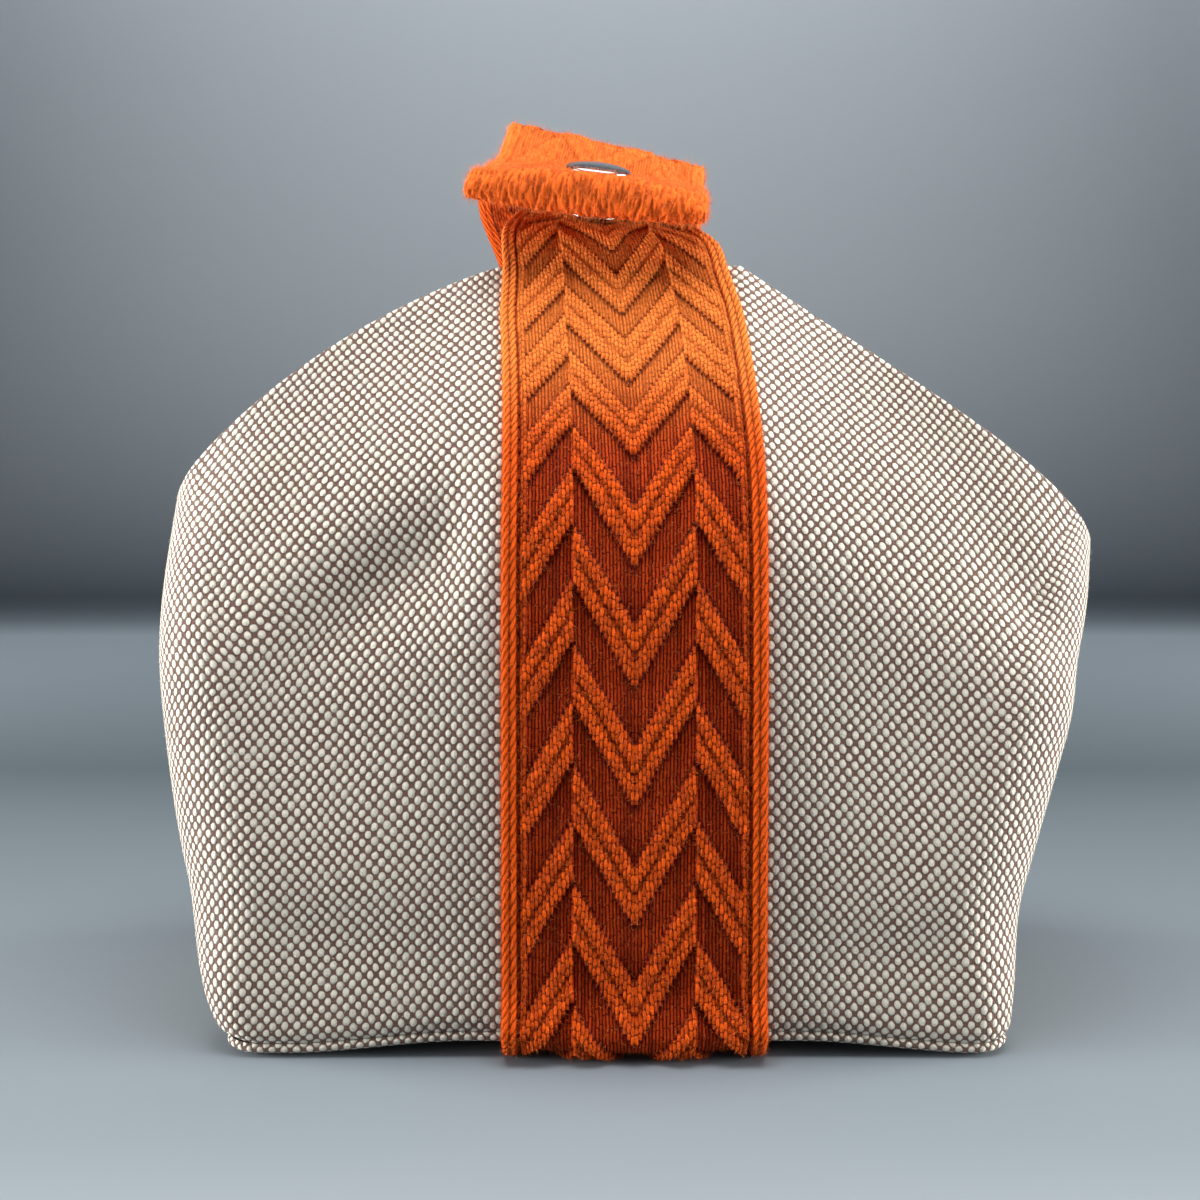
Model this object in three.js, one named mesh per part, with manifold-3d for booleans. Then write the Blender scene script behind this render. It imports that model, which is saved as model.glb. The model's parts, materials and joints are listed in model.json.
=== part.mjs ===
// A soft canvas vanity bag with a wide webbing strap that runs under it, up both
// faces and over the mouth, where its free end snaps down as a flap.
//
// Millimetres and degrees. +X is the right of the front, -Y is the front, +Z is up.
// The origin is on the floor, under the middle of the strap.

import * as THREE from 'three';
import { mergeVertices } from 'three/addons/utils/BufferGeometryUtils.js';
import Module from 'manifold-3d';

const wasm = await Module();
wasm.setup();

// Driving dimensions

const FIT = 0.3; // clearance between two layers that lie on each other

const CANVAS_THICKNESS = 1.2;
const LINING_THICKNESS = 0.6;
const FACING_THICKNESS = 1.0;
const FACING_WIDTH = 22;
const BOARD_THICKNESS = 1.5;

const BASE_DEPTH = 97; // front to back, outside the canvas
const BASE_CORNER = 9; // the base is pinched at its corners
const BODY_CORNER = 22; // and the filled wall is rounder above them
const SEAM_HEIGHT = 6; // where the base panel meets the walls
const BASE_DROP = 2.6; // how far the ends of the base hang below its middle
const BASE_DROP_START = 34;
const BASE_DROP_END = 72;

const HEM_HEIGHT = 169.5; // level part of the hem, under the strap
const MOUTH_DEPTH = 15; // across both hems, outside the canvas
const KNEE_HEIGHT = 50; // where the wall's corners are roundest
const BEND_HEIGHT = 118; // where the upright wall turns to lean in
const BEND_SOFTNESS = 18;
const MOUTH_CORNER_SHARE = 0.8; // corner radius of the closed mouth over its half depth

// The filled bag sits unevenly, so each end has its own outline.
const LEFT_BASE = 86.1;
const LEFT_SHOULDER = 107;
const LEFT_SHOULDER_HEIGHT = 116;
const LEFT_FLARE = 0.16;
const LEFT_BULGE = 0.1;
const LEFT_HEM_SLOPE = 0.23;
const LEFT_HEM_POWER = 1.71; // how late the hem's slope grows steeper
const LEFT_HEM_DROP = 3.6; // how far the hem turns down at the side seam
const RIGHT_BASE = 79.2;
const RIGHT_SHOULDER = 108.9;
const RIGHT_SHOULDER_HEIGHT = 105.5;
const RIGHT_FLARE = 1.11;
const RIGHT_BULGE = -0.4;
const RIGHT_HEM_SLOPE = 0.66;
const RIGHT_HEM_POWER = 3.04;
const RIGHT_HEM_DROP = 5.4;
const FLARE_START = 0.05; // share of the height that keeps the flare's foot from lying flat
const HEM_DROP_POWER = 14;

const STRAP_WIDTH = 54;
const STRAP_THICKNESS = 2.8;
const SELVEDGE = 0.7; // rounding of the webbing's two long edges
const STRAP_LEAN = 2; // sideways shift of the strap at the hem
const STRAP_SWAY = 7.8; // how far the free part of the back strap bows to the left
const SWAY_LATENESS = 3.6; // above 1 it bows most near the fold
const STRAP_FREE = 45.5; // from the hem down to where the back strap leaves the canvas

const SNAP_SIDE = -7.5; // the snap's place on the flap's upper face
const SNAP_BACK = 8.5;
const SNAP_RISE = 25.3; // above the hem
const FLAP_SLOPE = 21;
const FLAP_ROLL = 8.5;
const FLAP_YAW = 5;
const FLAP_FRONT = 32; // from the snap to the flap's front edge
const FLAP_CURL = 3.2; // rise of the front edge above the snap's plane
const FLAP_ARCH = 5.6; // rise of the fold above the snap's plane
const FLAP_HINGE = 26.5; // from the snap to the fold behind it
const FLAP_TURN_IN = 12; // how far the turned-under end runs behind the snap
const FOLD_GAP = 2.9; // from the fold's axis down to the end of the back strap
const TAB_BEND = 9; // from the snap forward to the start of the bend
const TAB_END = 8.5; // from the snap back to the end of the tab

const CAP_DIAMETER = 16;
const CAP_HEIGHT = 2.2;
const CAP_RIM = 0.5;
const POST_DIAMETER = 3.2;
const SOCKET_DIAMETER = 13;
const SOCKET_HEIGHT = 2.8;
const SOCKET_PLATE = 0.9;
const RECESS_CHAMFER = 0.4;
const STUD_FLANGE_DIAMETER = 12;
const STUD_FLANGE = 0.8;
const STUD_HEAD_DIAMETER = 6.2;
const STUD_NECK_DIAMETER = 5.4;
const STUD_HEIGHT = 2.0;
const STUD_CLEARANCE = 0.5; // round the stud's head, inside the socket
const SNAP_GAP = 0.4; // between the closed halves of the snap
const SPRING_WIRE = 0.6;
const EYELET_DIAMETER = 11;
const EYELET_THICKNESS = 0.8;

const POCKET_WIDTH = 116;
const POCKET_BOTTOM = 34;
const POCKET_TOP = 88;
const POCKET_THICKNESS = 0.6;
const BINDING_WIDTH = 6;
const BINDING_THICKNESS = 1.0;

// Facets
const WALL_ROWS = 15;
const LINING_ROWS = 8;
const COLUMNS = { strap: 2, front: 6, corner: 5, side: 2 };
const FOLD_STEPS = 4;
const ROUND_STEPS = 24;

const radians = THREE.MathUtils.degToRad;
const lerp = THREE.MathUtils.lerp;
const smooth = (x, low, high) => THREE.MathUtils.smoothstep(x, low, high);
const vec = (x, y, z) => new THREE.Vector3(x, y, z);

// Wall surface
//
// One wall runs from the left side seam round the front to the right side seam, and
// from the base seam to the hem. Its place is (g, v): g counts columns out from the
// middle, negative to the left, and v is 0 at the base seam and 1 at the hem.

const WALL_BOTTOM = SEAM_HEIGHT + FIT;
const KNEE = (KNEE_HEIGHT - WALL_BOTTOM) / (HEM_HEIGHT - WALL_BOTTOM);
const EDGE_COLUMN = COLUMNS.strap + COLUMNS.front + COLUMNS.corner + COLUMNS.side;

const LEFT_END = {
  sign: -1,
  flat: STRAP_WIDTH / 2 + STRAP_LEAN,
  base: LEFT_BASE,
  shoulder: LEFT_SHOULDER,
  height: LEFT_SHOULDER_HEIGHT,
  flare: LEFT_FLARE,
  bulge: LEFT_BULGE,
  slope: LEFT_HEM_SLOPE,
  power: LEFT_HEM_POWER,
  drop: LEFT_HEM_DROP,
};
const RIGHT_END = {
  sign: 1,
  flat: STRAP_WIDTH / 2 - STRAP_LEAN + FIT,
  base: RIGHT_BASE,
  shoulder: RIGHT_SHOULDER,
  height: RIGHT_SHOULDER_HEIGHT,
  flare: RIGHT_FLARE,
  bulge: RIGHT_BULGE,
  slope: RIGHT_HEM_SLOPE,
  power: RIGHT_HEM_POWER,
  drop: RIGHT_HEM_DROP,
};

// A point of a half round-cornered rectangle: half length, half depth, corner radius.
function outlinePoint(end, column, halfLength, halfDepth, corner) {
  let rest = column;
  if (rest <= COLUMNS.strap) {
    return [end.flat * rest / COLUMNS.strap, halfDepth];
  }
  rest -= COLUMNS.strap;
  if (rest <= COLUMNS.front) {
    return [lerp(end.flat, halfLength - corner, rest / COLUMNS.front), halfDepth];
  }
  rest -= COLUMNS.front;
  if (rest <= COLUMNS.corner) {
    const turn = rest / COLUMNS.corner * Math.PI / 2;
    return [halfLength - corner * (1 - Math.sin(turn)), halfDepth - corner * (1 - Math.cos(turn))];
  }
  rest -= COLUMNS.corner;
  return [halfLength, lerp(halfDepth - corner, FIT / 2, rest / COLUMNS.side)];
}

function hemHeight(end, x) {
  const out = Math.max(x - end.flat, 0);
  const reach = end.shoulder - end.flat;
  const fall = HEM_HEIGHT - end.height - end.slope * reach - end.drop;
  const share = out / reach;
  return HEM_HEIGHT - end.slope * out - fall * share ** end.power - end.drop * share ** HEM_DROP_POWER;
}

// Share of the way from the base's half length to the shoulder's
function flareShare(end, v) {
  const foot = FLARE_START ** end.flare;
  return ((v + FLARE_START) ** end.flare - foot) / ((1 + FLARE_START) ** end.flare - foot);
}

// How far a height lies past the bend, eased in round the bend itself
function pastBend(height) {
  const past = height - BEND_HEIGHT;
  return (past + Math.hypot(past, BEND_SOFTNESS)) / 2;
}

// Share of the way from the base's depth to the mouth's
function leanShare(v) {
  const start = pastBend(WALL_BOTTOM);
  return (pastBend(lerp(WALL_BOTTOM, HEM_HEIGHT, v)) - start) / (pastBend(HEM_HEIGHT) - start);
}

function wallPoint(g, v) {
  const end = g < 0 ? LEFT_END : RIGHT_END;
  const column = Math.abs(g);
  const hemCorner = MOUTH_CORNER_SHARE * MOUTH_DEPTH / 2;
  const lean = leanShare(v);
  const halfDepth = lerp(BASE_DEPTH, MOUTH_DEPTH, lean) / 2;
  const corner = lerp(lerp(BASE_CORNER, BODY_CORNER, smooth(v, 0, KNEE)), hemCorner, lean);
  const swell = end.bulge * 6.75 * v * v * (1 - v);
  const halfLength = lerp(end.base, end.shoulder, flareShare(end, v)) + swell;
  const [x, y] = outlinePoint(end, column, halfLength, halfDepth, corner);
  const [hemX] = outlinePoint(end, column, end.shoulder, MOUTH_DEPTH / 2, hemCorner);
  return vec(end.sign * x, -y, lerp(WALL_BOTTOM, hemHeight(end, hemX), v));
}

function wallNormal(g, v) {
  const step = 1e-3;
  const across = wallPoint(Math.min(g + step, EDGE_COLUMN), v)
    .sub(wallPoint(Math.max(g - step, -EDGE_COLUMN), v));
  const up = wallPoint(g, Math.min(v + step, 1)).sub(wallPoint(g, Math.max(v - step, 0)));
  return across.cross(up).normalize();
}

const wallOffset = (g, v, inward) => wallPoint(g, v).addScaledVector(wallNormal(g, v), -inward);

const steps = (from, to, count) => Array.from({ length: count + 1 }, (_, i) => lerp(from, to, i / count));

// Height as a share of the wall, at its middle
const shareOf = (height) => (height - WALL_BOTTOM) / (HEM_HEIGHT - WALL_BOTTOM);

// Closed bodies

function closedGeometry(points, triangles) {
  const geometry = new THREE.BufferGeometry();
  const flat = points.flatMap((p) => [p.x, p.y, p.z]);
  geometry.setAttribute('position', new THREE.Float32BufferAttribute(flat, 3));
  geometry.setIndex(triangles);
  geometry.computeVertexNormals();
  return geometry;
}

// A layer of cloth on the wall surface, between two depths below its outer face.
function wallLayer(columns, rows, outer, inner) {
  const points = [];
  for (const depth of [outer, inner]) {
    for (const v of rows) {
      for (const g of columns) points.push(wallOffset(g, v, depth));
    }
  }
  const wide = columns.length;
  const tall = rows.length;
  const at = (layer, row, column) => (layer * tall + row) * wide + column;
  const triangles = [];
  const quad = (a, b, c, d) => triangles.push(a, b, c, a, c, d);
  for (let r = 0; r < tall - 1; r++) {
    for (let c = 0; c < wide - 1; c++) {
      quad(at(0, r, c), at(0, r, c + 1), at(0, r + 1, c + 1), at(0, r + 1, c));
      quad(at(1, r, c), at(1, r + 1, c), at(1, r + 1, c + 1), at(1, r, c + 1));
    }
    quad(at(0, r, 0), at(0, r + 1, 0), at(1, r + 1, 0), at(1, r, 0));
    quad(at(0, r, wide - 1), at(1, r, wide - 1), at(1, r + 1, wide - 1), at(0, r + 1, wide - 1));
  }
  for (let c = 0; c < wide - 1; c++) {
    quad(at(0, 0, c), at(1, 0, c), at(1, 0, c + 1), at(0, 0, c + 1));
    quad(at(0, tall - 1, c), at(0, tall - 1, c + 1), at(1, tall - 1, c + 1), at(1, tall - 1, c));
  }
  return closedGeometry(points, triangles);
}

// The same layer on the back wall
function mirrored(geometry) {
  const copy = geometry.clone();
  const place = copy.attributes.position;
  for (let i = 0; i < place.count; i++) place.setY(i, -place.getY(i));
  const index = copy.index;
  for (let i = 0; i < index.count; i += 3) {
    const first = index.getX(i);
    index.setX(i, index.getX(i + 1));
    index.setX(i + 1, first);
  }
  copy.computeVertexNormals();
  return copy;
}

// Webbing: a flat section with rounded selvedges, swept along points of its outer face.
// Each stop has a point and the direction of the width, and an end may state its own way.
// The outer side is way x width.
function webbing(stops) {
  const half = STRAP_WIDTH / 2;
  const section = [
    [-half + SELVEDGE, 0], [half - SELVEDGE, 0], [half, -SELVEDGE], [half, -STRAP_THICKNESS + SELVEDGE],
    [half - SELVEDGE, -STRAP_THICKNESS], [-half + SELVEDGE, -STRAP_THICKNESS],
    [-half, -STRAP_THICKNESS + SELVEDGE], [-half, -SELVEDGE],
  ];
  const points = [];
  stops.forEach((stop, i) => {
    const before = stops[Math.max(i - 1, 0)].point;
    const after = stops[Math.min(i + 1, stops.length - 1)].point;
    const way = stop.way ?? after.clone().sub(before);
    const outward = way.clone().cross(stop.width).normalize();
    for (const [across, depth] of section) {
      points.push(stop.point.clone().addScaledVector(stop.width, across).addScaledVector(outward, depth));
    }
  });
  const n = section.length;
  const triangles = [];
  for (let i = 0; i < stops.length - 1; i++) {
    for (let k = 0; k < n; k++) {
      const a = i * n + k;
      const b = i * n + (k + 1) % n;
      triangles.push(a, a + n, b, b, a + n, b + n);
    }
  }
  const last = (stops.length - 1) * n;
  for (let k = 1; k < n - 1; k++) {
    triangles.push(0, k, k + 1);
    triangles.push(last, last + k + 1, last + k);
  }
  return closedGeometry(points, triangles);
}

// The base: a shallow tray whose rim meets the walls and whose fold sits in the strap's bend.

const BASE_FOLD = SEAM_HEIGHT - STRAP_THICKNESS - FIT;
const BASE_UNDERSIDE = STRAP_THICKNESS + FIT;

function baseUnderside(x) {
  return BASE_UNDERSIDE - BASE_DROP * smooth(Math.abs(x), BASE_DROP_START, BASE_DROP_END);
}

const wholeColumns = Array.from({ length: 2 * EDGE_COLUMN + 1 }, (_, i) => i - EDGE_COLUMN);

// Points of the base outline drawn in by a distance, front half then back half, left to right.
function baseOutline(inset) {
  const half = (side) => wholeColumns.map((g) => {
    const end = g < 0 ? LEFT_END : RIGHT_END;
    const corner = Math.max(BASE_CORNER - inset, FIT);
    const [x, y] = outlinePoint(end, Math.abs(g), end.base - inset, BASE_DEPTH / 2 - inset, corner);
    return [end.sign * x, side * y];
  });
  return { front: half(-1), back: half(1) };
}

function baseTray() {
  const points = [];
  const rings = [];
  const addRing = (inset, height) => {
    const { front, back } = baseOutline(inset);
    const loop = [...front, ...back.reverse()];
    rings.push(loop.map(([x, y]) => points.push(vec(x, y, height(x))) - 1));
  };
  const inside = BASE_FOLD - CANVAS_THICKNESS;
  const turns = steps(0, Math.PI / 2, FOLD_STEPS);
  for (const turn of turns) {
    const drop = (x) => (SEAM_HEIGHT - baseUnderside(x)) * Math.sin(turn);
    addRing(BASE_FOLD * (1 - Math.cos(turn)), (x) => SEAM_HEIGHT - drop(x));
  }
  for (const turn of turns.reverse()) {
    const drop = (x) => (SEAM_HEIGHT - baseUnderside(x) - CANVAS_THICKNESS) * Math.sin(turn);
    addRing(BASE_FOLD - inside * Math.cos(turn), (x) => SEAM_HEIGHT - drop(x));
  }
  const size = rings[0].length;
  const triangles = [];
  const joinRings = (upper, lower) => {
    for (let k = 0; k < size; k++) {
      const next = (k + 1) % size;
      triangles.push(upper[k], lower[k], upper[next], upper[next], lower[k], lower[next]);
    }
  };
  const fold = FOLD_STEPS + 1;
  for (let i = 0; i < rings.length; i++) {
    if (i !== fold - 1) joinRings(rings[i], rings[(i + 1) % rings.length]);
  }
  // The two flat faces: strips from front to back, with a fan at each straight end.
  const flatFace = (ring, down) => {
    const add = (a, b, c) => (down ? triangles.push(a, c, b) : triangles.push(a, b, c));
    const wide = wholeColumns.length;
    const front = (k) => ring[k];
    const back = (k) => ring[2 * wide - 1 - k];
    const first = COLUMNS.side + 1;
    const last = wide - 1 - first;
    for (let k = first; k < last; k++) {
      add(front(k), front(k + 1), back(k + 1));
      add(front(k), back(k + 1), back(k));
    }
    for (let k = 0; k < first; k++) {
      add(front(first), front(k), front(k + 1));
      add(front(first), back(k + 1), back(k));
      add(front(last), front(wide - 2 - k), front(wide - 1 - k));
      add(front(last), back(wide - 1 - k), back(wide - 2 - k));
    }
    add(front(first), back(0), front(0));
    add(front(last), front(wide - 1), back(wide - 1));
  };
  flatFace(rings[fold - 1], true);
  flatFace(rings[fold], false);
  return closedGeometry(points, triangles);
}

// A flat sheet in the base, drawn in from the canvas outline
function baseSheet(inset, bottom, thickness) {
  const { front, back } = baseOutline(inset);
  const shape = new THREE.Shape([...front, ...back.reverse()].map(([x, y]) => new THREE.Vector2(x, y)));
  const geometry = new THREE.ExtrudeGeometry(shape, { depth: thickness, bevelEnabled: false });
  return geometry.translate(0, 0, bottom);
}

// Strap route, as points of the outer face with the direction of the width

const flapFrame = new THREE.Matrix4().makeRotationZ(-radians(FLAP_YAW))
  .multiply(new THREE.Matrix4().makeRotationX(radians(FLAP_SLOPE)))
  .multiply(new THREE.Matrix4().makeRotationY(radians(FLAP_ROLL)));
const flapAcross = vec(1, 0, 0).applyMatrix4(flapFrame);
const flapBack = vec(0, 1, 0).applyMatrix4(flapFrame);
const flapUp = vec(0, 0, 1).applyMatrix4(flapFrame);
const snapCentre = vec(SNAP_SIDE, SNAP_BACK, HEM_HEIGHT + SNAP_RISE);
const flapPoint = (back, up) => snapCentre.clone().addScaledVector(flapBack, back).addScaledVector(flapUp, up);
const levelWidth = vec(1, 0, 0);

// Heights of the snap's stack below the flap's upper face
const FLAP_UNDERSIDE = -(2 * STRAP_THICKNESS + FIT);
const SOCKET_TOP = FLAP_UNDERSIDE - FIT;
const SOCKET_BOTTOM = SOCKET_TOP - SOCKET_HEIGHT;
const STUD_TOP = SOCKET_BOTTOM - SNAP_GAP;
const TAB_TOP = STUD_TOP - STUD_FLANGE - FIT;
const TAB_UNDERSIDE = TAB_TOP - STRAP_THICKNESS;

const strapLean = (v) => -STRAP_LEAN * smooth(v, 0.45, 1);
const wallStrap = (v) => {
  const point = wallOffset(0, v, -FIT - STRAP_THICKNESS);
  return point.setX(strapLean(v));
};
const wallRows = steps(0, 1, WALL_ROWS);

// Turns the width from level to the flap's own direction between two shares of a run.
const widthAt = (share) => levelWidth.clone().lerp(flapAcross, share).normalize();

function bezierStops(from, fromWay, to, toWay, reach, count, widthShare) {
  const curve = new THREE.CubicBezierCurve3(
    from, from.clone().addScaledVector(fromWay, reach), to.clone().addScaledVector(toWay, -reach), to);
  return curve.getSpacedPoints(count).map((point, i) => ({ point, width: widthAt(widthShare(i / count)) }));
}

// Front strap, from the end of the tab down to the base seam
function frontStrapStops() {
  const wall = wallRows.map((v) => ({ point: wallStrap(v), width: levelWidth })).reverse();
  wall[wall.length - 1].way = vec(0, 0, -1);
  const hem = wall[0].point;
  const hemWay = hem.clone().sub(wall[1].point).normalize();
  const bend = flapPoint(-TAB_BEND, TAB_TOP);
  const run = bend.distanceTo(hem);
  const rise = bezierStops(hem, hemWay, bend, flapBack, run * 0.38, 7, (share) => share);
  const tab = steps(0, TAB_BEND + TAB_END, 4).map((along) => ({
    point: flapPoint(along - TAB_BEND, TAB_TOP), width: flapAcross,
  }));
  return [...tab.reverse(), ...rise.reverse().slice(1), ...wall.slice(1)];
}

// Base strap, from the front seam under the base to the back seam
function baseStrapStops() {
  const radius = SEAM_HEIGHT;
  const centre = BASE_DEPTH / 2 + FIT + STRAP_THICKNESS - radius;
  const bend = steps(0, Math.PI / 2, FOLD_STEPS).map((turn) => [
    centre + radius * Math.cos(turn), SEAM_HEIGHT - radius * Math.sin(turn)]);
  const front = bend.map(([y, z]) => vec(0, -y, z));
  const back = bend.map(([y, z]) => vec(0, y, z)).reverse();
  const stops = [...front, ...back].map((point) => ({ point, width: levelWidth }));
  stops[0].way = vec(0, 0, -1);
  stops[stops.length - 1].way = vec(0, 0, 1);
  return stops;
}

// Back strap, from the base seam up the canvas and free of it to the fold
const leaves = shareOf(HEM_HEIGHT - STRAP_FREE);
const foldAxis = flapPoint(FLAP_HINGE, FLAP_ARCH - STRAP_THICKNESS / 2);

function backStrapStops() {
  const rows = wallRows.filter((v) => v < leaves);
  const wall = rows.map((v) => {
    const point = wallStrap(v);
    return { point: vec(0, -point.y, point.z), width: levelWidth };
  });
  wall[0].way = vec(0, 0, 1);
  const last = wall[wall.length - 1].point;
  const lastWay = last.clone().sub(wall[wall.length - 2].point).normalize();
  const end = foldAxis.clone().add(vec(0, STRAP_THICKNESS / 2, -FOLD_GAP));
  const run = end.distanceTo(last);
  const free = bezierStops(last, lastWay, end, vec(0, 0, 1), run * 0.34, 12, (share) => share);
  free.forEach((stop, i) => {
    stop.point.x -= STRAP_SWAY * Math.sin(Math.PI * (i / (free.length - 1)) ** SWAY_LATENESS) ** 2;
  });
  return [...wall, ...free.slice(1)];
}

// Flap, from the fold forward over the snap, round its front edge and back underneath
function flapStops() {
  const turn = -FLAP_UNDERSIDE / 2;
  const frontRun = FLAP_FRONT - turn;
  const curl = (back) => FLAP_CURL * smooth(-back, SOCKET_DIAMETER / 2, frontRun)
    + FLAP_ARCH * smooth(back, SOCKET_DIAMETER / 2, FLAP_HINGE);
  const above = steps(FLAP_HINGE + STRAP_THICKNESS / 3, -frontRun, 10).map((back) => flapPoint(back, curl(back)));
  const edge = steps(0, Math.PI, 8).map((angle) => flapPoint(
    -frontRun - turn * Math.sin(angle), FLAP_CURL - turn + turn * Math.cos(angle)));
  const below = steps(-frontRun, FLAP_TURN_IN, 8).map((back) => flapPoint(back, FLAP_UNDERSIDE + curl(back)));
  return [...above, ...edge.slice(1, -1), ...below].map((point) => ({ point, width: flapAcross }));
}

// Solids for cutting

function solidOf(geometry) {
  const bare = geometry.clone();
  for (const name of Object.keys(bare.attributes)) {
    if (name !== 'position') bare.deleteAttribute(name);
  }
  const merged = mergeVertices(bare, 1e-4);
  return new wasm.Manifold(new wasm.Mesh({
    numProp: 3,
    vertProperties: new Float32Array(merged.attributes.position.array),
    triVerts: new Uint32Array(merged.index.array),
  }));
}

function cut(geometry, tool) {
  const result = solidOf(geometry).subtract(solidOf(tool)).getMesh();
  const made = new THREE.BufferGeometry();
  made.setAttribute('position', new THREE.Float32BufferAttribute(result.vertProperties, 3));
  made.setIndex(Array.from(result.triVerts));
  made.computeVertexNormals();
  return made;
}

// A hole for a snap's post, square to the flap
function postHole() {
  const radius = POST_DIAMETER / 2 + FIT;
  const length = 2 * (STUD_HEIGHT - TAB_UNDERSIDE);
  const hole = new THREE.CylinderGeometry(radius, radius, length, ROUND_STEPS / 2);
  hole.rotateX(Math.PI / 2);
  hole.applyMatrix4(flapFrame);
  return hole.translate(snapCentre.x, snapCentre.y, snapCentre.z);
}

// Snap fastener, turned about the snap's own axis. Profiles are radius and height.

function turned(profile) {
  const points = profile.map(([radius, height]) => new THREE.Vector2(radius, height));
  const geometry = new THREE.LatheGeometry(points, ROUND_STEPS);
  return geometry.rotateX(Math.PI / 2);
}

const POST_HOLE = POST_DIAMETER / 2 + FIT;

function capGeometry() {
  const radius = CAP_DIAMETER / 2;
  const dome = steps(0, Math.PI / 2, 6).map((turn) => [
    radius * Math.cos(turn), FIT + CAP_RIM + (CAP_HEIGHT - CAP_RIM) * Math.sin(turn)]);
  const foot = SOCKET_TOP - SOCKET_PLATE + FIT;
  dome[dome.length - 1][0] = 0;
  return turned([[0, foot], [POST_DIAMETER / 2, foot], [POST_DIAMETER / 2, FIT], [radius - CAP_RIM, FIT], ...dome]);
}

function socketGeometry() {
  const radius = SOCKET_DIAMETER / 2;
  const recess = STUD_HEAD_DIAMETER / 2 + STUD_CLEARANCE;
  const grooveDepth = recess + SPRING_WIRE + FIT;
  const grooveTop = SOCKET_TOP - SOCKET_PLATE;
  const grooveBottom = grooveTop - SPRING_WIRE - 2 * FIT;
  return turned([
    [POST_HOLE, SOCKET_TOP - SOCKET_PLATE], [grooveDepth, grooveTop], [grooveDepth, grooveBottom],
    [recess, grooveBottom], [recess, SOCKET_BOTTOM + RECESS_CHAMFER],
    [recess + RECESS_CHAMFER, SOCKET_BOTTOM], [radius - CAP_RIM, SOCKET_BOTTOM],
    [radius, SOCKET_BOTTOM + CAP_RIM], [radius, SOCKET_TOP], [POST_HOLE, SOCKET_TOP],
    [POST_HOLE, SOCKET_TOP - SOCKET_PLATE],
  ]);
}

function springGeometry() {
  const recess = STUD_HEAD_DIAMETER / 2 + STUD_CLEARANCE;
  const ring = new THREE.TorusGeometry(recess + SPRING_WIRE / 2 + FIT / 3, SPRING_WIRE / 2, 8, ROUND_STEPS);
  return ring.translate(0, 0, SOCKET_TOP - SOCKET_PLATE - FIT - SPRING_WIRE / 2);
}

function studGeometry() {
  const head = STUD_HEAD_DIAMETER / 2;
  const neck = STUD_NECK_DIAMETER / 2;
  const widest = STUD_TOP + STUD_HEIGHT * 0.5;
  const dome = steps(0, Math.PI / 2, 5).map((turn) => [
    head * Math.cos(turn), widest + STUD_HEIGHT * 0.5 * Math.sin(turn)]);
  dome[dome.length - 1][0] = 0;
  return turned([
    [0, STUD_TOP + FIT], [POST_HOLE, STUD_TOP + FIT], [POST_HOLE, TAB_TOP + FIT],
    [STUD_FLANGE_DIAMETER / 2, TAB_TOP + FIT], [STUD_FLANGE_DIAMETER / 2, STUD_TOP],
    [neck, STUD_TOP], ...dome,
  ]);
}

function eyeletGeometry() {
  const radius = EYELET_DIAMETER / 2;
  const top = TAB_UNDERSIDE - FIT;
  return turned([
    [0, top - EYELET_THICKNESS], [radius - EYELET_THICKNESS / 2, top - EYELET_THICKNESS],
    [radius, top - EYELET_THICKNESS / 2], [radius, top], [POST_DIAMETER / 2, top],
    [POST_DIAMETER / 2, STUD_TOP], [0, STUD_TOP],
  ]);
}

// Layers, by depth below the canvas's outer face

const LINING_DEPTH = CANVAS_THICKNESS + FIT;
const POCKET_DEPTH = LINING_DEPTH + LINING_THICKNESS + FIT;
const facingFrom = 1 - FACING_WIDTH / (HEM_HEIGHT - WALL_BOTTOM);
const liningTo = facingFrom - FIT / (HEM_HEIGHT - WALL_BOTTOM);
const liningFrom = (BASE_UNDERSIDE + CANVAS_THICKNESS) / (HEM_HEIGHT - WALL_BOTTOM) / 4;

const wallPanel = wallLayer(wholeColumns, wallRows, 0, CANVAS_THICKNESS);
const wallLining = wallLayer(
  wholeColumns, steps(liningFrom, liningTo, LINING_ROWS), LINING_DEPTH, LINING_DEPTH + LINING_THICKNESS);
const wallFacing = wallLayer(
  wholeColumns, steps(facingFrom, 1, 3), LINING_DEPTH, LINING_DEPTH + FACING_THICKNESS);

// Columns that reach half the pocket's width on the straight part of the wall
function pocketColumns() {
  const v = shareOf((POCKET_BOTTOM + POCKET_TOP) / 2);
  const reachOf = (end) => {
    const inner = Math.abs(wallPoint(end.sign * COLUMNS.strap, v).x);
    const outer = Math.abs(wallPoint(end.sign * (COLUMNS.strap + COLUMNS.front), v).x);
    return COLUMNS.strap + COLUMNS.front * (POCKET_WIDTH / 2 - inner) / (outer - inner);
  };
  return [...steps(-reachOf(LEFT_END), 0, 6), ...steps(0, reachOf(RIGHT_END), 6).slice(1)];
}

const bindingFrom = shareOf(POCKET_TOP - BINDING_WIDTH);
const pocketTo = bindingFrom - FIT / (HEM_HEIGHT - WALL_BOTTOM);
const pocketSheet = wallLayer(
  pocketColumns(), steps(shareOf(POCKET_BOTTOM), pocketTo, 4), POCKET_DEPTH, POCKET_DEPTH + POCKET_THICKNESS);
const pocketBinding = wallLayer(
  pocketColumns(), steps(bindingFrom, shareOf(POCKET_TOP), 1), POCKET_DEPTH, POCKET_DEPTH + BINDING_THICKNESS);

const BOARD_BOTTOM = BASE_UNDERSIDE + CANVAS_THICKNESS + FIT;
const BASE_LINING_BOTTOM = BOARD_BOTTOM + BOARD_THICKNESS + FIT;
const SHEET_INSET = BASE_FOLD + FIT;

// Materials

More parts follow.
